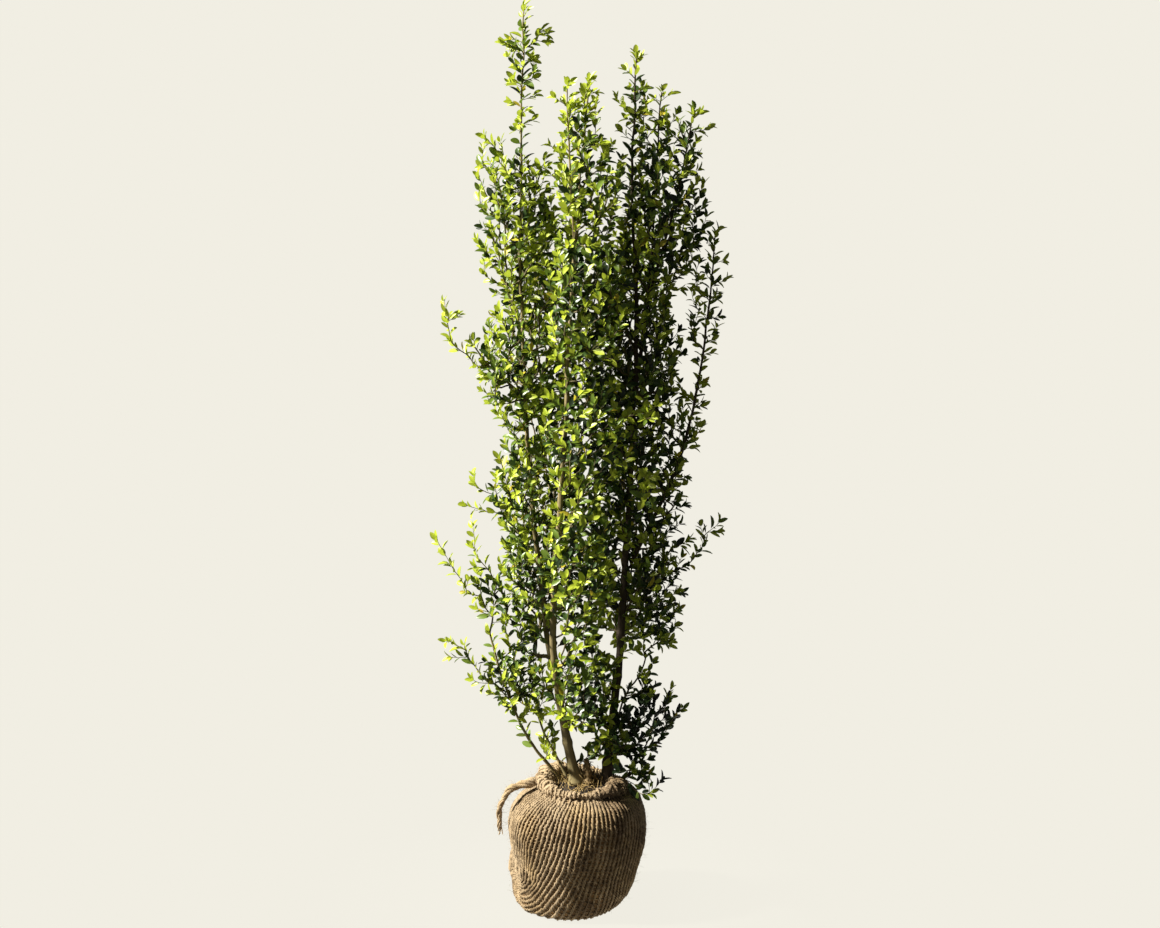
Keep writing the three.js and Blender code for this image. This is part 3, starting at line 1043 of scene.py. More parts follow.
class Ball:
    """The sock's outer surface as a distance in every direction from a point in the ball's heart."""

    REACH = 0.14
    SWIRL = 0.45
    SWIRL_REACH = 0.07

    def __init__(self):
        low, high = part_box("jute_sock")
        self.heart = Vector(((low.x + high.x) / 2 - 0.003, 0, 0.118))
        self.surface = bvh_of("jute_sock")
        points = corners_of("jute_sock")[0]
        rim = points[points[:, 2] > high.z - 0.001]
        self.mouth = Vector((*((rim.min(0) + rim.max(0))[:2] / 2), high.z))
        self.mouth_radius = float(np.ptp(rim[:, 0]) / 2)
        self.toe = Vector((-0.80, -0.52, -0.34)).normalized()
        self.heel = Vector((0.64, 0.42, -0.64)).normalized()
        self.upright = UP.rotation_difference((self.mouth - self.heart).normalized())
        self.seen = {}

    def reach(self, way):
        """Distance to the cloth, averaged a little so that the frame's facets don't show."""
        key = tuple(round(c, 3) for c in way)
        if key not in self.seen:
            side = way.orthogonal().normalized()
            found = [self.cast(way)]
            for turn in range(7):
                near = (way + Matrix.Rotation(turn * math.pi / 3.5, 3, way) @ side * 0.09).normalized()
                found.append(self.cast(near))
            self.seen[key] = sum(sorted(found)[2:7]) / 5
        return self.seen[key]

    def cast(self, way):
        hit = self.surface.ray_cast(self.heart + way * 0.4, -way)[0]
        if hit is None:
            return 0.1
        return (hit - self.heart).length

    def point(self, way, proud=0.0):
        distance = self.reach(way)
        lumps = noise.noise(way * 2.6) * 0.0035 + noise.noise(way * 7.0) * 0.0016
        place = self.heart + way * (distance + lumps + proud)
        place.z = max(place.z, 0.002 + proud)
        return place

    def on_plane(self, way):
        """The ball opened out flat from its mouth, with the underside in the middle."""
        way = self.upright.inverted() @ way
        return complex(way.x, way.y) / (1 - way.z)

    def off_plane(self, spot):
        size = abs(spot) ** 2
        way = Vector((2 * spot.real, 2 * spot.imag, size - 1)) / (1 + size)
        return self.upright @ way

    def foci(self):
        """Middle and half of the line from toe to heel, on the plane."""
        toe, heel = self.on_plane(self.toe), self.on_plane(self.heel)
        return (toe + heel) / 2, (heel - toe) / 2

    def ribs(self, count):
        """Wales of the knitting: down the front, across the seam under the ball and up the back.

        The seam ends at the toe and at the heel, and the wales bend round both like hyperbolas
        round their foci.
        """
        middle, half = self.foci()
        lines = []
        for number in range(count):
            across = math.pi * (number + 0.5) / count
            thinnest = (0, 0.0058, 0.0029, 0.0058)[number % 4]
            places = []
            for k in range(-130, 131):
                w = complex(across, 2.9 * k / 130)
                spot = middle + half * cmath.cos(w)
                room = abs(half * cmath.sin(w)) * math.pi / count * 2 / (1 + abs(spot) ** 2) * self.REACH
                place = self.rib_point(self.off_plane(spot))
                places.append(None if room < thinnest else place)
            lines += stretches(places, 4)
        return lines

    def courses(self, count, span=2.9):
        """Rows of the knitting: thin threads that cross every rib, like ellipses round the toe and heel."""
        middle, half = self.foci()
        lines = []
        for number in range(count):
            along = span * (2 * (number + 0.5) / count - 1)
            places = []
            for k in range(73):
                w = complex(math.pi * k / 72, along)
                spot = middle + half * cmath.cos(w)
                room = abs(half * cmath.sin(w)) * 2 * span / count * 2 / (1 + abs(spot) ** 2) * self.REACH
                place = self.rib_point(self.off_plane(spot), -0.0006)
                places.append(None if room < 0.003 else place)
            lines += stretches(places, 3)
        return lines

    def rib_point(self, way, proud=0.0009):
        left = (way - self.toe).length * self.REACH
        way = way.copy()
        way.rotate(Matrix.Rotation(self.SWIRL * math.exp(-((left / self.SWIRL_REACH) ** 2)), 3, self.toe))
        sway = drift(way * 5 + Vector((3, 1, 7))) * 0.016
        place = self.point((way + sway).normalized(), proud)
        flat = Vector((place.x - self.mouth.x, place.y - self.mouth.y))
        if place.z > self.mouth.z - 0.02 and flat.length < self.mouth_radius + 0.001:
            return None
        return place


def stretches(places, fewest):
    """The unbroken stretches of a line that is cut wherever it has no place."""
    lines, line = [], []
    for place in (*places, None):
        if place is not None:
            line.append(place)
            continue
        if len(line) >= fewest:
            lines.append(line)
        line = []
    return lines


def line_piece(name, lines):
    vertices, edges = [], []
    for line in lines:
        edges += [(len(vertices) + k, len(vertices) + k + 1) for k in range(len(line) - 1)]
        vertices += list(line)
    return mesh_piece(name, vertices, [], edges=edges)


def stitch_bead(name, sides=6):
    """One stitch of yarn, a fat grain twice as long as wide, of unit width and lying along Y."""
    rows = ((-1.35, 0.0), (-0.85, 0.74), (0.0, 1.0), (0.85, 0.74), (1.35, 0.0))
    vertices = [(0, rows[0][0], 0)]
    for y, wide in rows[1:-1]:
        for k in range(sides):
            angle = 2 * math.pi * k / sides
            vertices.append((0.5 * wide * math.cos(angle), y, 0.56 * wide * math.sin(angle)))
    vertices.append((0, rows[-1][0], 0))
    faces = [(0, 1 + k, 1 + (k + 1) % sides) for k in range(sides)]
    for start in (1, 1 + sides):
        faces += band(start, start + sides, sides, True)
    start = 1 + 2 * sides
    faces += [(start + k, start + sides, start + (k + 1) % sides) for k in range(sides)]
    return mesh_piece(name, vertices, faces)


def outward(piece):
    """Faces of a closed mesh turned to the outside."""
    mesh = bmesh.new()
    mesh.from_mesh(piece.data)
    bmesh.ops.recalc_face_normals(mesh, faces=mesh.faces)
    mesh.to_mesh(piece.data)
    mesh.free()
    return piece


def without(piece, unwanted):
    """The mesh less some of its faces."""
    points = [vertex.co.copy() for vertex in piece.data.vertices]
    faces = [tuple(face.vertices) for face in piece.data.polygons if face.index not in unwanted]
    name = piece.name
    drop(piece)
    return mesh_piece(name, points, faces)


def hair(name, bend, thick, sides=3, steps=4):
    """A stiff fibre of unit length that rises along Z and bends over."""
    vertices, faces = [], []
    for row in range(steps + 1):
        share = row / steps
        middle = Vector((bend * share**2, bend * 0.4 * math.sin(share * 4), share))
        for k in range(sides):
            angle = 2 * math.pi * k / sides
            way = Vector((math.cos(angle), math.sin(angle), 0))
            vertices.append(middle + way * thick * (1 - 0.55 * share))
    for row in range(steps):
        faces += band(row * sides, (row + 1) * sides, sides)
    faces.append(tuple(reversed(range(sides))))
    faces.append(tuple(range(steps * sides, (steps + 1) * sides)))
    return mesh_piece(name, vertices, faces)


def shell_of(reach, rows, columns):
    """A round closed surface: one ring of points for every tilt from straight down to straight up."""
    vertices = [reach(Vector((0, 0, -1)))]
    for row in range(1, rows):
        tilt = math.pi * row / rows
        for column in range(columns):
            turn = 2 * math.pi * column / columns
            way = Vector((math.sin(tilt) * math.cos(turn), math.sin(tilt) * math.sin(turn), -math.cos(tilt)))
            vertices.append(reach(way))
    vertices.append(reach(Vector((0, 0, 1))))
    faces = [(0, 1 + (k + 1) % columns, 1 + k) for k in range(columns)]
    for row in range(rows - 2):
        faces += band(1 + row * columns, 1 + (row + 1) * columns, columns)
    start = 1 + (rows - 2) * columns
    faces += [(start + k, start + (k + 1) % columns, len(vertices) - 1) for k in range(columns)]
    return vertices, faces


# ---------------------------------------------------------------- bark


def frames_along(line):
    """Two square directions at every point of a line, carried along it without twist."""
    tangents = np.gradient(line, axis=0)
    tangents /= np.linalg.norm(tangents, axis=1)[:, None] + 1e-12
    side = unit(np.cross(tangents[0], (0.0, 1.0, 0.2)))
    sides, backs = [], []
    for tangent in tangents:
        side = unit(side - tangent * np.dot(side, tangent))
        sides.append(side)
        backs.append(np.cross(tangent, side))
    return np.array(sides), np.array(backs), tangents


def bark_tube(line, radii, columns, start, rooted):
    """A limb's skin with long ridges, swollen nodes, scars and, at the soil, a flared and lobed foot."""
    sides, backs, _ = frames_along(line)
    vertices, faces = [], []
    for row, (middle, radius) in enumerate(zip(line, radii)):
        up = middle[2] - SOIL_TOP
        flare = 0.28 * math.exp(-max(up, 0) / 0.014) if rooted else 0
        node = 0.16 * max(0, math.sin(row * 0.42 + start)) ** 8 * (1 + noise.noise((start, row * 0.2, 0)))
        for column in range(columns):
            angle = 2 * math.pi * column / columns
            way = np.array((math.cos(angle), math.sin(angle)))
            ridges = noise.noise((way[0] * 2.2 + start, way[1] * 2.2, row * 0.035)) * 0.16
            grain = noise.noise((way[0] * 6 + start, way[1] * 6, row * 0.12)) * 0.07
            lobes = flare * (1 + 0.5 * math.sin(3 * angle + start))
            knob = 0.22 * max(0, noise.noise((way[0] * 1.6, way[1] * 1.6 + start, row * 0.19)) - 0.3)
            reach = radius * (1.0 + ridges + grain + lobes + node + knob)
            vertices.append(middle + (sides[row] * way[0] + backs[row] * way[1]) * reach)
    count = len(line)
    for row in range(count - 1):
        faces += band(row * columns, (row + 1) * columns, columns)
    vertices += [line[0], line[-1]]
    foot, tip, last = count * columns, count * columns + 1, (count - 1) * columns
    faces += [(foot, (k + 1) % columns, k) for k in range(columns)]
    faces += [(tip, last + k, last + (k + 1) % columns) for k in range(columns)]
    return vertices, faces


def joined(name, parts, material):
    vertices, faces = [], []
    for points, polygons in parts:
        faces += [tuple(len(vertices) + k for k in polygon) for polygon in polygons]
        vertices += list(points)
    return mesh_piece(name, vertices, faces, material)


# ---------------------------------------------------------------- operators

MADE = {}


def growth():
    if "growth" not in MADE:
        MADE["growth"] = Growth(bpy.context.scene.sapling_plant)
    return MADE["growth"]


def ball():
    if "ball" not in MADE:
        MADE["ball"] = Ball()
    return MADE["ball"]


def drop(*pieces):
    for piece in pieces:
        mesh = piece.data
        bpy.data.objects.remove(piece)
        bpy.data.meshes.remove(mesh)


class SAPLING_OT_stems(bpy.types.Operator):
    """Cover the stems, shoots and boughs with bark"""

    bl_idname = "sapling.stems"
    bl_label = "Stems"

    def execute(self, context):
        tints = context.scene.sapling_colours
        pale = bark_material("olive_bark", tints.bark_pale, tints.bark_dark, 1.02)
        dark = bark_material("brown_bark", times(tints.bark_dark, 1.9), times(tints.bark_dark, 0.7), 0.72)
        old_and_shaded = [name for name in LIMBS if name.startswith("stem_right")]
        groups = {"olive": [name for name in LIMBS if name not in old_and_shaded], "brown": old_and_shaded}
        for label, names in groups.items():
            parts = []
            for name in names:
                line, radii = growth().limbs[name]
                columns = 18 if radii.max() > 0.008 else 12 if radii.max() > 0.004 else 8
                rooted = line[0][2] < SOIL_TOP
                parts.append(bark_tube(line, radii, columns, hash_of(name), rooted))
            piece = outward(joined(f"bark_{label}", parts, pale if label == "olive" else dark))
            hand_in(piece, "bark", *names)
        return {"FINISHED"}


class SAPLING_OT_twigs(bpy.types.Operator):
    """Grow the twigs from the limbs to every bud of the crown"""

    bl_idname = "sapling.twigs"
    bl_label = "Twigs"

    def execute(self, context):
        tints = context.scene.sapling_colours
        wood = growth()
        vertices, edges, girths = [], [], []
        for twig in wood.twigs:
            first = len(vertices)
            vertices += [wood.place[i] for i in twig]
            thick = [wood.girth[i] for i in twig]
            thick[0] = min(thick[0], thick[1] * 1.25)
            girths += thick
            edges += [(first + k, first + k + 1) for k in range(len(twig) - 1)]
        carrier = mesh_piece("twig_lines", vertices, [], edges=edges)
        set_attribute(carrier, "girth", "FLOAT", girths)
        material = bark_material("twig_bark", times(tints.bark_pale, 0.55), tints.bark_dark, 0.95)
        piece = bake("twigs", carrier, tube_tree(), {"Sides": 5, "Material": material})
        hand_in(piece, "bark")
        return {"FINISHED"}


class SAPLING_OT_leaves(bpy.types.Operator):
    """Deal out the leaves along the shoots, in sprays from bright to dark"""

    bl_idname = "sapling.leaves"
    bl_label = "Leaves"

    MOST = 8000
    FINISH = {
        "lime": (0.38, 0.24),
        "fresh": (0.34, 0.2),
        "mature": (0.3, 0.12),
        "deep": (0.32, 0.06),
        "yellow": (0.5, 0.3),
    }

    def execute(self, context):
        plant = context.scene.sapling_plant
        tints = context.scene.sapling_colours
        leaves = leaves_on(growth())
        blades = [
            leaf_blade("blade_flat", plant, 0.30, 0.06, 0.95),
            leaf_blade("blade_folded", plant, 0.55, 0.16, 1.05),
            leaf_blade("blade_drooping", plant, 0.40, 0.28, 0.88),
        ]
        tree = scatter_tree()
        pieces = []
        for number, kind in enumerate(KINDS):
            material = leaf_material(f"{kind}_leaf", getattr(tints, kind), *self.FINISH[kind])
            values = dict(zip(("First", "Second", "Third"), blades), Seed=number, Material=material)
            chosen = [leaf for leaf in leaves if leaf.kind == kind]
            parts = 1 + len(chosen) // self.MOST
            for part in range(parts):
                few = chosen[len(chosen) * part // parts : len(chosen) * (part + 1) // parts]
                carrier = mesh_piece("leaf_points", [leaf.place for leaf in few], [])
                set_attribute(carrier, "turn", "FLOAT_VECTOR", [tuple(leaf.turn) for leaf in few])
                set_attribute(carrier, "size", "FLOAT_VECTOR", [(leaf.size,) * 3 for leaf in few])
                pieces.append(bake(f"leaves_{kind}_{part + 1}", carrier, tree, values))
        drop(*blades)
        for piece in pieces:
            hand_in(piece, "foliage")
        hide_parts(*MASSES)
        return {"FINISHED"}


class SAPLING_OT_sock(bpy.types.Operator):
    """Knit the jute sock round the root ball"""

    bl_idname = "sapling.sock"
    bl_label = "Jute sock"

    def execute(self, context):
        settings = context.scene.sapling_ball
        tints = context.scene.sapling_colours
        shape = ball()
        yarn = jute_material("jute_yarn", tints.jute_pale, tints.jute_dark, 2.0)
        web = jute_material("jute_web", times(tints.jute_dark, 3.0), times(tints.jute_dark, 1.0), 1.9)

        def cloth_point(way):
            place = shape.point(way, -0.0014)
            flat = Vector((place.x - shape.mouth.x, place.y - shape.mouth.y))
            if way.z > 0.5 and flat.length < shape.mouth_radius:
                place.z = min(place.z, shape.mouth.z - 0.004 - 0.1 * (shape.mouth_radius - flat.length))
            return place

        cloth = outward(mesh_piece("sock_cloth", *shell_of(cloth_point, 84, 150), web))
        bead = outward(stitch_bead("stitch"))
        ribs = shape.ribs(settings.wales)
        width = settings.stitch_width
        pieces = [
            knit(f"sock_stitches_{number + 1}", cloth, bead, ribs[number::2], width, number, yarn)
            for number in range(2)
        ]
        threads = [(line, [0.0011] * len(line)) for line in shape.courses(settings.courses)]
        pieces.append(cords("sock_courses", threads, yarn, 4))
        hairs = [hair("hair_short", 0.5, 0.016), hair("hair_long", -0.9, 0.012)]
        low = [face for face in cloth.data.polygons if face.center.z < 0.016]
        carrier = without(place_object("sock_fibre_base", cloth.data.copy()), {face.index for face in low})
        length = settings.fibre_length
        fluff = fuzz("sock_fibres", carrier, hairs, float(settings.fibres), 1.15, length, 5, yarn)
        drop(bead, *hairs)
        hand_in(cloth, "jute", "jute_sock")
        for piece in (*pieces, fluff):
            hand_in(piece, "jute")
        return {"FINISHED"}


class Roll:
    """The sock's gathered edge: a crumpled roll of cloth round the mouth."""

    def __init__(self):
        self.middle = np.array(ball().mouth)
        self.rows = roll_round("jute_collar", self.middle, 180)

    def at(self, turn):
        """Middle of the roll and its two half-width directions at a turn round the mouth."""
        place = (turn / (2 * math.pi) % 1) * len(self.rows)
        first = int(place) % len(self.rows)
        share = place - int(place)
        after = (first + 1) % len(self.rows)
        out, rise, wide, high = self.rows[first] * (1 - share) + self.rows[after] * share
        outwards = np.array((math.cos(turn), math.sin(turn), 0))
        sway = 0.0035 * noise.noise((math.cos(turn) * 3, math.sin(turn) * 3, 4.0))
        middle = self.middle + outwards * (out + sway) + np.array((0, 0, rise + sway - 0.002))
        gathered = 0.62 + 0.75 * min(1, max(0, (wide - 0.0065) / 0.006))
        return middle, outwards * wide * gathered, np.array((0, 0, high * gathered))

    def skin(self, turn, angle, proud=0.0):
        middle, wide, high = self.at(turn)
        around = Vector((math.cos(turn), math.sin(turn), 0)) * 3.1
        loose = noise.noise(around + Vector((0, 0, math.cos(angle) * 0.8)))
        crease = abs(math.sin(1.5 * angle + 9 * turn + 2.4 * loose)) ** 0.6
        fold = noise.noise(around * 2.4 + Vector((math.cos(angle), math.sin(angle), 0)))
        reach = 0.66 + 0.34 * crease + 0.42 * fold
        way = wide * math.cos(angle) + high * math.sin(angle)
        return middle + way * reach + unit(way) * proud

    def strand(self, start, twists, share, steps=360):
        """A cord wound along the roll."""
        line, girths = [], []
        for k in range(steps + 1):
            turn = 2 * math.pi * k / steps
            middle, wide, high = self.at(turn)
            loose = noise.noise((math.cos(turn) * 4 + start, math.sin(turn) * 4, start))
            angle = start + twists * turn + 1.6 * loose
            line.append(middle + (wide * math.cos(angle) + high * math.sin(angle)) * (share + 0.18 * loose))
            girths.append(min(0.0042, max(0.0016, np.linalg.norm(wide) * 0.34)) * (1 + 0.3 * loose))
        return line, girths


def cords(name, strands, material, sides=8):
    """Round cords along lines, each with its own girth."""
    vertices, edges, girths = [], [], []
    for line, thick in strands:
        edges += [(len(vertices) + k, len(vertices) + k + 1) for k in range(len(line) - 1)]
        vertices += list(line)
        girths += list(thick)
    carrier = mesh_piece(f"{name}_lines", vertices, [], edges=edges)
    set_attribute(carrier, "girth", "FLOAT", girths)
    return bake(name, carrier, tube_tree(), {"Sides": sides, "Material": material})


def knit(name, cloth, bead, lines, width, seed, material):
    """Stitches along lines that lie on a cloth."""
    settings = bpy.context.scene.sapling_ball
    values = dict(Cloth=cloth, Stitch=bead, Width=width, Seed=seed, Material=material)
    values.update(Pitch=settings.stitch_pitch, Slant=settings.stitch_slant)
    return bake(name, line_piece(f"{name}_ribs", lines), chain_tree(), values)


def fuzz(name, carrier, shapes, density, lean, size, seed, material):
    """Loose hairs, stalks or crumbs over a carrier's surface."""
    values = dict(First=shapes[0], Second=shapes[1], Density=density, Lean=lean, Size=size, Seed=seed)
    return bake(name, carrier, litter_tree(), dict(values, Material=material))


class SAPLING_OT_collar(bpy.types.Operator):
    """Gather the sock's edge into a crumpled roll round its mouth"""

    bl_idname = "sapling.collar"
    bl_label = "Gathered edge"

    def execute(self, context):
        settings = context.scene.sapling_ball
        tints = context.scene.sapling_colours
        roll = Roll()
        cloth = jute_material("gathered_jute", times(tints.jute_pale, 1.12), tints.jute_dark, 2.3)
        rings, sides = 240, 24
        vertices, faces = [], []
        for ring in range(rings):
            turn = 2 * math.pi * ring / rings
            vertices += [roll.skin(turn, 2 * math.pi * side / sides) for side in range(sides)]
        for ring in range(rings):
            faces += band(ring * sides, (ring + 1) % rings * sides, sides, True)
        skin = outward(mesh_piece("collar_cloth", vertices, faces, cloth))
        lines = []
        for number in range(64):
            turn = 2 * math.pi * number / 64
            lines.append([Vector(roll.skin(turn, -0.9 + 0.24 * k, 0.0006)) for k in range(16)])
        bead = outward(stitch_bead("edge_stitch"))
        stitches = knit("collar_stitches", skin, bead, lines, settings.stitch_width * 0.8, 8, cloth)
        strands = [roll.strand(start, 9, 0.72) for start in (0.3, 2.4, 4.5)]
        rope = cords("collar_cords", strands, cloth, 7)
        hairs = [hair("edge_hair", 0.6, 0.014), hair("edge_hair_long", -0.8, 0.012)]
        carrier = place_object("collar_fibre_base", skin.data.copy())
        fluff = fuzz("collar_fibres", carrier, hairs, 9000.0, 1.2, settings.fibre_length, 6, cloth)
        drop(bead, *hairs)
        hand_in(skin, "jute", "jute_collar")
        for piece in (stitches, rope, fluff):
            hand_in(piece, "jute")
        return {"FINISHED"}


class SAPLING_OT_tail(bpy.types.Operator):
    """Twist the sock's loose end and fray its tip"""

    bl_idname = "sapling.tail"
    bl_label = "Loose end"

    def execute(self, context):
        tints = context.scene.sapling_colours
        cloth = jute_material("loose_jute", times(tints.jute_pale, 1.15), tints.jute_dark, 2.35)
        line, radii = resampled(*centreline("jute_tail", 0.008), 0.003, soften=4)
        if line[0][2] < line[-1][2]:
            line, radii = line[::-1], radii[::-1]
        share = np.linspace(0, 1, len(line))
        line = line + np.outer(np.sin(math.pi * share) ** 1.2, (-0.009, 0, 0.012))
        line = line + np.outer(share**2, (0.004, 0, 0.010))
        sides, backs, _ = frames_along(line)
        strands = []
        for number in range(6):
            start = number * 2 * math.pi / 6
            points, girths = [], []
            for k, (middle, radius) in enumerate(zip(line, radii)):
                share = k / (len(line) - 1)
                fray = max(0, share - 0.72) * 3.2
                loose = noise.noise((start, share * 6, 2.0))
                angle = start + 15 * share + loose
                reach = radius * (0.58 + 0.3 * loose + fray * (0.3 + 0.5 * ((number * 5) % 7) / 7))
                points.append(middle + (sides[k] * math.cos(angle) + backs[k] * math.sin(angle)) * reach)
                girths.append(radius * 0.5 * (1 - 0.6 * min(1, fray)) * (1 + 0.3 * loose))
            keep = len(points) - (number * 3) % 6
            strands.append((points[:keep], girths[:keep]))
        rope = cords("tail_strands", strands, cloth, 8)
        hairs = [hair("tail_hair", 0.6, 0.014), hair("tail_hair_long", -0.8, 0.012)]
        carrier = place_object("tail_fibre_base", rope.data.copy())
        size = context.scene.sapling_ball.fibre_length * 0.9
        fluff = fuzz("tail_fibres", carrier, hairs, 14000.0, 1.0, size, 7, cloth)
        drop(*hairs)
        hand_in(rope, "jute", "jute_tail")
        hand_in(fluff, "jute")
        return {"FINISHED"}


def lump(name, sides=7):
    """A rough clod of unit size."""
    vertices = [(0, 0, -0.5)]
    for row, (z, wide) in enumerate(((-0.28, 0.42), (0.05, 0.52), (0.33, 0.36))):
        for k in range(sides):
            angle = 2 * math.pi * (k + 0.5 * row) / sides
            place = Vector((wide * math.cos(angle), wide * math.sin(angle), z))
            vertices.append(place * (1 + 0.35 * noise.noise(place * 3 + Vector((hash_of(name), 0, 0)))))
    vertices.append((0, 0, 0.46))
    faces = [(0, 1 + (k + 1) % sides, 1 + k) for k in range(sides)]
    for start in (1, 1 + sides):
        faces += band(start, start + sides, sides)
    start = 1 + 2 * sides
    faces += [(start + k, start + (k + 1) % sides, len(vertices) - 1) for k in range(sides)]
    return outward(mesh_piece(name, vertices, faces))


def mouth_disc(radius, height, rough, rings=22, columns=72):
    """An uneven round patch inside the sock's mouth."""
    middle = ball().mouth
    vertices = []
    for ring in range(rings + 1):
        for column in range(columns if ring else 1):
            angle = 2 * math.pi * column / columns
            reach = radius * ring / rings
            x, y = middle.x + reach * math.cos(angle), middle.y + reach * math.sin(angle)
            bumps = noise.noise((x * 38, y * 38, 1)) + 0.5 * noise.noise((x * 110, y * 110, 2))
            vertices.append((x, y, height + rough * bumps - 0.010 * (ring / rings) ** 4))
    faces = [(0, 1 + k, 1 + (k + 1) % columns) for k in range(columns)]
    for ring in range(rings - 1):
        faces += band(1 + ring * columns, 1 + (ring + 1) * columns, columns, True)
    return vertices, faces


class SAPLING_OT_soil(bpy.types.Operator):
    """Fill the sock with soil, crumbly where it shows in the mouth"""

    bl_idname = "sapling.soil"
    bl_label = "Soil"

    def execute(self, context):
        tints = context.scene.sapling_colours
        earth = soil_material(tints.soil)
        heart = Vector((*ball().mouth.xy * 0.5, 0.12))
        surface = bvh_of("soil")

        def reach(way):
            hit = surface.ray_cast(heart + way * 0.4, -way)[0]
            hit = hit if hit else heart + way * 0.1
            beside = min(1, max(0, (0.75 - way.z) / 0.15))
            hit = heart + (hit - heart) * (1 - 0.05 * beside)
            if way.z > 0.6:
                hit.z = min(hit.z, SOIL_TOP + 0.0028 * noise.noise(hit * 60) - 0.001)
            return hit

        ground = outward(mesh_piece("soil_ball", *shell_of(reach, 110, 96), earth))
        clods = [lump("clod_round"), lump("clod_long", 6)]
        radius = ball().mouth_radius * 0.97
        carrier = mesh_piece("soil_patch", *mouth_disc(radius, SOIL_TOP - 0.001, 0.003))
        crumbs = fuzz("soil_crumbs", carrier, clods, 16000.0, 1.5, 0.0075, 3, earth)
        drop(*clods)
        hand_in(ground, "soil", "soil")
        hand_in(crumbs, "soil")
        return {"FINISHED"}


class SAPLING_OT_straw(bpy.types.Operator):
    """Strew dry stalks over the mouth, and set the dry stub among them"""

    bl_idname = "sapling.straw"
    bl_label = "Straw and dry stub"

    def execute(self, context):
        tints = context.scene.sapling_colours
        dry = straw_material(tints.straw)
        stalks = [hair("stalk_bent", 0.35, 0.032, 4, 4), hair("stalk_split", -0.7, 0.05, 4, 4)]
        radius = ball().mouth_radius * 0.9
        carrier = mesh_piece("straw_patch", *mouth_disc(radius, SOIL_TOP + 0.002, 0.004))
        litter = fuzz("straw_stalks", carrier, stalks, 15000.0, 1.45, 0.024, 12, dry)
        line, radii = resampled(*centreline("dry_stub", 0.008), 0.003, soften=3)
        line = line - np.array((0.006, 0, 0))
        knobs = np.array([1.75 + 1.5 * noise.noise((0, 7, k * 0.35)) for k in range(len(line))])
        rust = straw_material((tints.straw[0] * 0.72, tints.straw[1] * 0.72, tints.straw[2] * 0.85))
        stub = outward(joined("dry_stub_bark", [bark_tube(line, radii * knobs, 12, 4.4, False)], rust))
        flakes = [hair("flake", 0.9, 0.2, 4, 3), hair("flake_long", -1.1, 0.16, 4, 3)]
        base = place_object("stub_flake_base", stub.data.copy())
        peel = fuzz("stub_flakes", base, flakes, 30000.0, 1.3, 0.0055, 13, rust)
        drop(*stalks, *flakes)
        hand_in(litter, "straw", "straw_litter")
        hand_in(stub, "straw", "dry_stub")
        hand_in(peel, "straw")
        return {"FINISHED"}


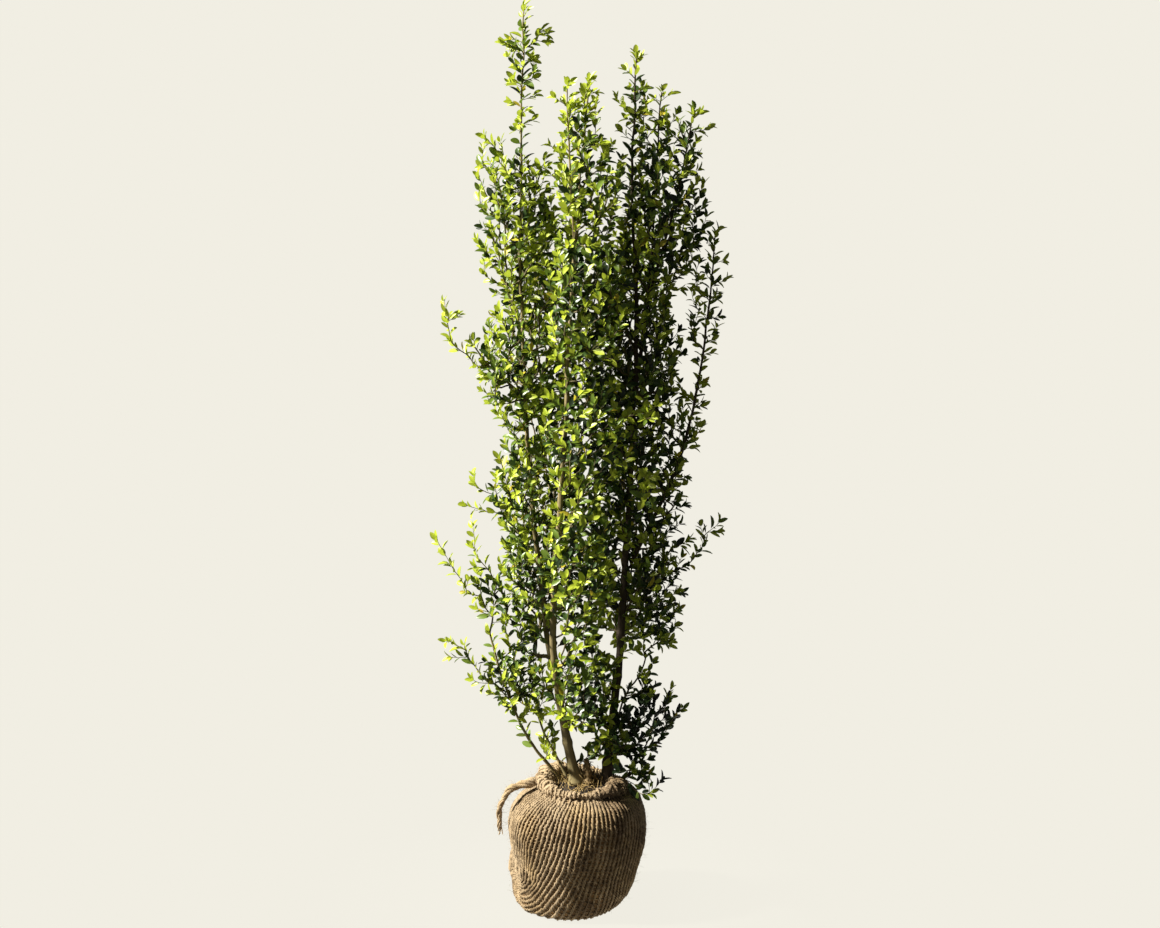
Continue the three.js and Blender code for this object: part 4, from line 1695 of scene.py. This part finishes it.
class SAPLING_OT_stage(bpy.types.Operator):
    """Set the pale floor, the soft lights and the camera"""

    bl_idname = "sapling.stage"
    bl_label = "Stage"

    def execute(self, context):
        tints = context.scene.sapling_colours
        self.floor(tints)
        self.backdrop(tints)
        self.lights(context)
        camera = bpy.data.objects.new("camera", bpy.data.cameras.new("camera"))
        context.scene.collection.objects.link(camera)
        camera.location = EYE
        camera.rotation_euler = (AIM - EYE).to_track_quat("-Z", "Y").to_euler()
        camera.data.lens = LENS
        context.scene.camera = camera
        context.scene.view_settings.view_transform = "Standard"
        context.scene.view_settings.look = "None"
        return {"FINISHED"}

    @staticmethod
    def floor(tints):
        rings, columns, reach = 24, 72, 0.9
        vertices = [(0, 0, -0.0004)]
        for ring in range(1, rings + 1):
            for column in range(columns):
                angle = 2 * math.pi * column / columns
                radius = reach * ring / rings
                vertices.append((radius * math.cos(angle), radius * math.sin(angle), -0.0004))
        faces = [(0, 1 + k, 1 + (k + 1) % columns) for k in range(columns)]
        for ring in range(rings - 1):
            faces += band(1 + ring * columns, 1 + (ring + 1) * columns, columns, True)
        recipe = Recipe("studio_floor")
        distance = recipe.node("ShaderNodeVectorMath", {"operation": "LENGTH"}, {0: recipe.place()}, 1)
        fade = (distance * 2.6 - 0.42).clamped()
        surface = {"Base Color": (*tints.floor, 1), "Roughness": 0.9, "Specular IOR Level": 0.1}
        surface.update({"Emission Color": (*tints.backdrop, 1), "Emission Strength": 0.978})
        solid = recipe.principled(surface)
        clear = recipe.node("ShaderNodeBsdfTransparent", {}, {})
        material = recipe.finish(recipe.node("ShaderNodeMixShader", {}, {0: fade, 1: solid, 2: clear}))
        mesh_piece("floor", vertices, faces, material)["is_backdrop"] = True

    @staticmethod
    def backdrop(tints):
        """A plain shell that only the eye sees; light passes through it."""
        recipe = Recipe("plain_backdrop")
        glow = recipe.node("ShaderNodeEmission", {}, {"Color": (*tints.backdrop, 1), "Strength": 1.0})
        shell = mesh_piece("backdrop", *shell_of(lambda way: way * 30, 16, 32), recipe.finish(glow))
        for rays in ("diffuse", "glossy", "transmission", "volume_scatter", "shadow"):
            setattr(shell, f"visible_{rays}", False)
        shell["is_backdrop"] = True

    @staticmethod
    def lights(context):
        world = bpy.data.worlds.new("studio")
        world.use_nodes = True
        background = world.node_tree.nodes["Background"]
        background.inputs["Color"].default_value = (1.0, 0.99, 0.97, 1)
        background.inputs["Strength"].default_value = 0.10
        context.scene.world = world
        sun = bpy.data.lights.new("key", "SUN")
        sun.energy = 12.6
        sun.angle = math.radians(5)
        sun.color = (1.0, 0.965, 0.88)
        key = bpy.data.objects.new("key", sun)
        key.rotation_euler = SUNLIGHT.to_track_quat("-Z", "Y").to_euler()
        context.scene.collection.objects.link(key)
        soft = bpy.data.lights.new("fill", "AREA")
        soft.energy = 5
        soft.size = 2.4
        soft.color = (1.0, 0.98, 0.94)
        fill = bpy.data.objects.new("fill", soft)
        fill.location = (-1.4, -3.0, 2.2)
        fill.rotation_euler = (Vector((0, 0, 0.8)) - fill.location).to_track_quat("-Z", "Y").to_euler()
        context.scene.collection.objects.link(fill)


class SAPLING_PT_panel(bpy.types.Panel):
    """The sapling's settings and pieces"""

    bl_label = "Sapling with root ball"
    bl_idname = "SAPLING_PT_panel"
    bl_space_type = "VIEW_3D"
    bl_region_type = "UI"
    bl_category = "Sapling"

    def draw(self, context):
        for title, group in (
            ("Plant", context.scene.sapling_plant),
            ("Ball", context.scene.sapling_ball),
            ("Colours", context.scene.sapling_colours),
        ):
            box = self.layout.box()
            box.label(text=title)
            for name in group.bl_rna.properties.keys():
                if name not in ("rna_type", "name"):
                    box.prop(group, name)
        for operator in PIECES:
            self.layout.operator(operator.bl_idname)


GROUPS = {"sapling_plant": SaplingPlant, "sapling_ball": SaplingBall, "sapling_colours": SaplingColours}
PIECES = (
    SAPLING_OT_stage,
    SAPLING_OT_stems,
    SAPLING_OT_twigs,
    SAPLING_OT_leaves,
    SAPLING_OT_sock,
    SAPLING_OT_collar,
    SAPLING_OT_tail,
    SAPLING_OT_soil,
    SAPLING_OT_straw,
)


def register():
    for group in (*GROUPS.values(), *PIECES, SAPLING_PT_panel):
        bpy.utils.register_class(group)
    for name, group in GROUPS.items():
        setattr(bpy.types.Scene, name, bpy.props.PointerProperty(type=group))


def unregister():
    for name in GROUPS:
        delattr(bpy.types.Scene, name)
    for group in (SAPLING_PT_panel, *reversed(PIECES), *GROUPS.values()):
        bpy.utils.unregister_class(group)


def main():
    register()
    for piece in PIECES:
        group, name = piece.bl_idname.split(".")
        if getattr(getattr(bpy.ops, group), name)() != {"FINISHED"}:
            raise RuntimeError(f"{piece.bl_label} wasn't made")
    sizes = {"cad": CAD_BOX, "visual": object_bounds()}
    plain = {name: [[float(c) for c in corner] for corner in box] for name, box in sizes.items()}


if __name__ == "__main__":
    main()
